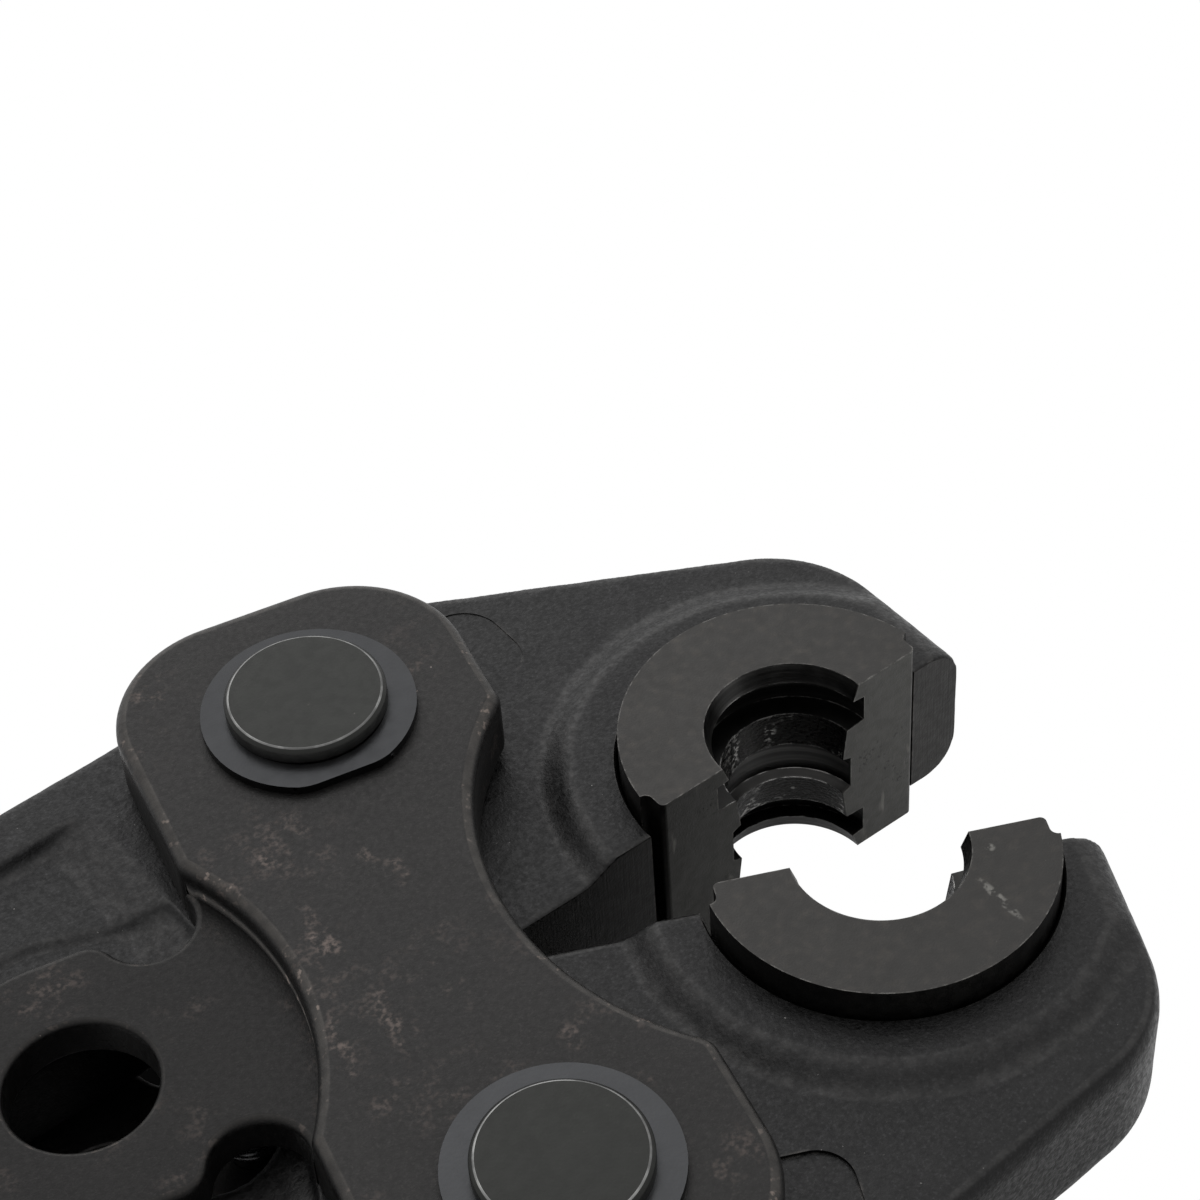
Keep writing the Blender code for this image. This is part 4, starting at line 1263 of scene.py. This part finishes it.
def die():
    """Half of a turned ring, with its bore stepped for the fitting's bead and its corners cut back."""
    upper = bore_profile()
    lower = [(radius, -height) for radius, height in reversed(upper)]
    outer = [(DIE_RADIUS, DIE_HALF), (DIE_RADIUS, -DIE_HALF)]
    ring = turned([*outer, *lower, *upper], DIE_STEPS, closed=True)
    tall = DIE_HALF + CUT_REACH
    half_ring = cut(ring, extruded([die_outline()], -tall, tall), operation="INTERSECT")
    mesh = taken(eased(levelled(half_ring), DIE_EDGE_RADIUS, 2, DIE_EASE_ANGLE))
    ridge_low = DIE_HALF - LIP_WIDTH - BEAD_WIDTH - RIDGE_WIDTH
    rim = DIE_PARTING_GAP + DIE_EDGE_RADIUS
    for polygon in mesh.polygons:
        centre = polygon.center
        radius = Vector(centre[:2]).length
        on_parting = polygon.normal.y < -0.9 and centre.y < rim
        inside = abs(centre.z) < DIE_HALF - DIE_EDGE_RADIUS and centre.y > rim
        in_bore = inside and radius < BEAD_RADIUS + BORE_EASE
        on_ridge = in_bore and radius < RIDGE_OUTER_RADIUS + BORE_EASE and abs(centre.z) > ridge_low
        if on_parting:
            polygon.material_index = PARTING_SKIN
        elif on_ridge:
            polygon.material_index = RIDGE_SKIN
        else:
            polygon.material_index = BORE_SKIN if in_bore else FACE_SKIN
    return mesh


# Pins and what holds them


def pivot_pin():
    """A headed pin: the head stands proud of the top plate and a circlip holds the other end."""
    head = PLATE_OUTER_Z + WASHER_THICKNESS + CONTACT_GAP * 2
    groove = -head
    groove_end = groove - CIRCLIP_THICKNESS - CONTACT_GAP * 2
    top_radius = PIN_HEAD_RADIUS - PIN_CHAMFER
    worn_edge = [
        (top_radius + PIN_WORN_EDGE * out, PIN_END_Z - PIN_WORN_EDGE * down) for out, down in PIN_WORN_SHAPE
    ]
    profile = [
        (0, PIN_END_Z),
        *worn_edge,
        (PIN_HEAD_RADIUS - CONTACT_GAP, PIN_END_Z - PIN_CHAMFER * 0.9),
        (PIN_HEAD_RADIUS, PIN_END_Z - PIN_CHAMFER * 1.1),
        (PIN_HEAD_RADIUS, head),
        (PIN_RADIUS, head),
        (PIN_RADIUS, groove),
        (PIN_RADIUS - GROOVE_DEPTH, groove),
        (PIN_RADIUS - GROOVE_DEPTH, groove_end),
        (PIN_RADIUS, groove_end),
        (PIN_RADIUS, PIN_END_CHAMFER - PIN_END_Z),
        (PIN_RADIUS - PIN_END_CHAMFER, -PIN_END_Z),
        (0, -PIN_END_Z),
    ]
    mesh = taken(turned(profile, BLEND_STEPS))
    for polygon in mesh.polygons:
        radius = Vector(polygon.center[:2]).length
        worn = abs(radius - top_radius) < PIN_WORN_EDGE * 0.7 and 0.1 < polygon.normal.z < 0.98
        polygon.material_index = 1 if worn else 0
    return mesh


def washer():
    """A round washer with one flat, which lies towards -Y."""
    half = math.acos(WASHER_FLAT / WASHER_RADIUS)
    points = arc((0, 0), WASHER_RADIUS, half - math.pi / 2, 1.5 * math.pi - half, 60)
    outline = rounded(with_ends(points, WASHER_FLAT_FILLET))
    low = PLATE_OUTER_Z + CONTACT_GAP
    hole = circle((0, 0), PIN_RADIUS + PIN_CLEARANCE + WASHER_SLACK, HOLE_STEPS)
    blank = levelled(extruded([outline, hole], low, low + WASHER_THICKNESS))
    return taken(eased(blank, WASHER_EDGE_RADIUS, 3))


def circlip():
    """An external circlip, with its two pierced lugs beside the gap."""
    inner = PIN_RADIUS - GROOVE_DEPTH + CONTACT_GAP
    gap, lug = CIRCLIP_GAP_ANGLE, CIRCLIP_LUG_ANGLE
    outer = inner + CIRCLIP_BAND
    tip = inner + CIRCLIP_LUG
    outline = [
        *arc((0, 0), outer, lug, math.tau - lug, 72),
        *arc((0, 0), tip, math.tau - lug, math.tau - gap, 8),
        *arc((0, 0), inner, math.tau - gap, gap, 72),
        *arc((0, 0), tip, gap, lug, 8),
    ]
    middles = arc((0, 0), (inner + tip) / 2, -(gap + lug) / 2, (gap + lug) / 2, 1)
    eyes = [circle(middle, CIRCLIP_EYE_RADIUS, 24) for middle in middles]
    top = -(PLATE_OUTER_Z + WASHER_THICKNESS + CONTACT_GAP * 3)
    blank = extruded([outline, *eyes], top - CIRCLIP_THICKNESS, top)
    return taken(eased(blank, CIRCLIP_EDGE_RADIUS, 2))


# Opening spring


def spring_post():
    reach = PLATE_INNER_Z + SPRING_POST_SINK - CONTACT_GAP
    blank = cylinder((SPRING_POST_X, 0), SPRING_POST_RADIUS, -reach, reach, 48)
    return taken(eased(blank, SPRING_POST_EDGE_RADIUS, 2))


def opening_spring():
    """A wire spring wound on the post, whose two legs press forwards against the arms' heels."""
    count = SPRING_TURNS * SPRING_STEPS + SPRING_STEPS // 2
    climb = SPRING_PITCH * count / SPRING_STEPS
    start = -math.pi / 2
    end = start - math.tau * count / SPRING_STEPS
    turns = arc((SPRING_POST_X, 0), SPRING_COIL_RADIUS, start, end, count)
    coil = [(*across, climb * (i / count - 0.5)) for i, across in enumerate(turns)]
    first_toe = (SPRING_TOE_X, -SPRING_TOE_Y, coil[0][2])
    last_toe = (SPRING_TOE_X, SPRING_TOE_Y, coil[-1][2])
    return taken(wire([first_toe, *coil, last_toe], SPRING_WIRE_RADIUS))


# Assembly


def build():
    forged, machined, plate = forged_steel(), machined_steel(), plate_steel()
    die_top, bore, ridge, pin, ring = die_steel(), oily_bore(), torn_ridge(), pin_steel(), worn_ring()
    pressed, spring = pressed_face(), spring_steel()
    blued, pale = washer_steel("washer_steel", 1.0), washer_steel("pale_washer_steel", PALE_TONE)

    mesh = side_plate()
    show(mesh, "top_plate", JAW, "frame", "top_side_plate", "plate_steel", plate)
    show(mesh, "bottom_plate", UPSIDE_DOWN, "frame", "bottom_side_plate", "plate_steel", plate)
    show(spring_post(), "post", JAW, "frame", "spring_post", "pin_steel", pin)
    coil = show(opening_spring(), "opening_coil", JAW, "frame", "opening_spring", "spring_steel", spring)
    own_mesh(coil)

    die_mesh, pin_mesh, clip_mesh, washer_mesh = die(), pivot_pin(), circlip(), washer()
    at_die = Matrix.Translation((DIE_X, -PIN_Y, 0))
    for side, place, pin_place, seed, mark, shift, sheet in (
        ("left", LEFT, LEFT_PIN, LEFT_SEED, WORN_MARK_DEPTH, -WASHER_SLACK, blued),
        ("right", RIGHT, RIGHT_PIN, RIGHT_SEED, SEAT_MARK_DEPTH, 0, pale),
    ):
        half = f"{side}_jaw_half"
        forging = arm(seed, mark)
        show(forging, f"{side}_forging", place, half, f"{side}_arm", "forged_steel", forged, machined)
        skins = (die_top, bore, ridge, pressed)
        show(die_mesh, f"{side}_half_die", place @ at_die, half, f"{side}_die", "die_steel", *skins)
        show(pin_mesh, f"{side}_pin", pin_place, "frame", f"{side}_pivot_pin", "pin_steel", pin, ring)
        show(clip_mesh, f"{side}_clip", pin_place, "frame", f"{side}_circlip", "washer_steel", blued)
        for face, flip in (("top", 0), ("bottom", math.pi)):
            centre = pin_place @ Matrix.Translation((0, shift, 0)) @ Matrix.Rotation(flip, 4, "Y")
            name = f"{side}_{face}_washer"
            show(washer_mesh, f"{side}_{face}_ring", centre, "frame", name, "washer_steel", sheet)
        for kind, material in (("ball", spring), ("spring", spring), ("sleeve", pin)):
            for slot in frame["nodes"][f"{side}_detent_{kind}"].material_slots:
                slot.material = material


make_camera()
make_stage()
make_lamp()
build()
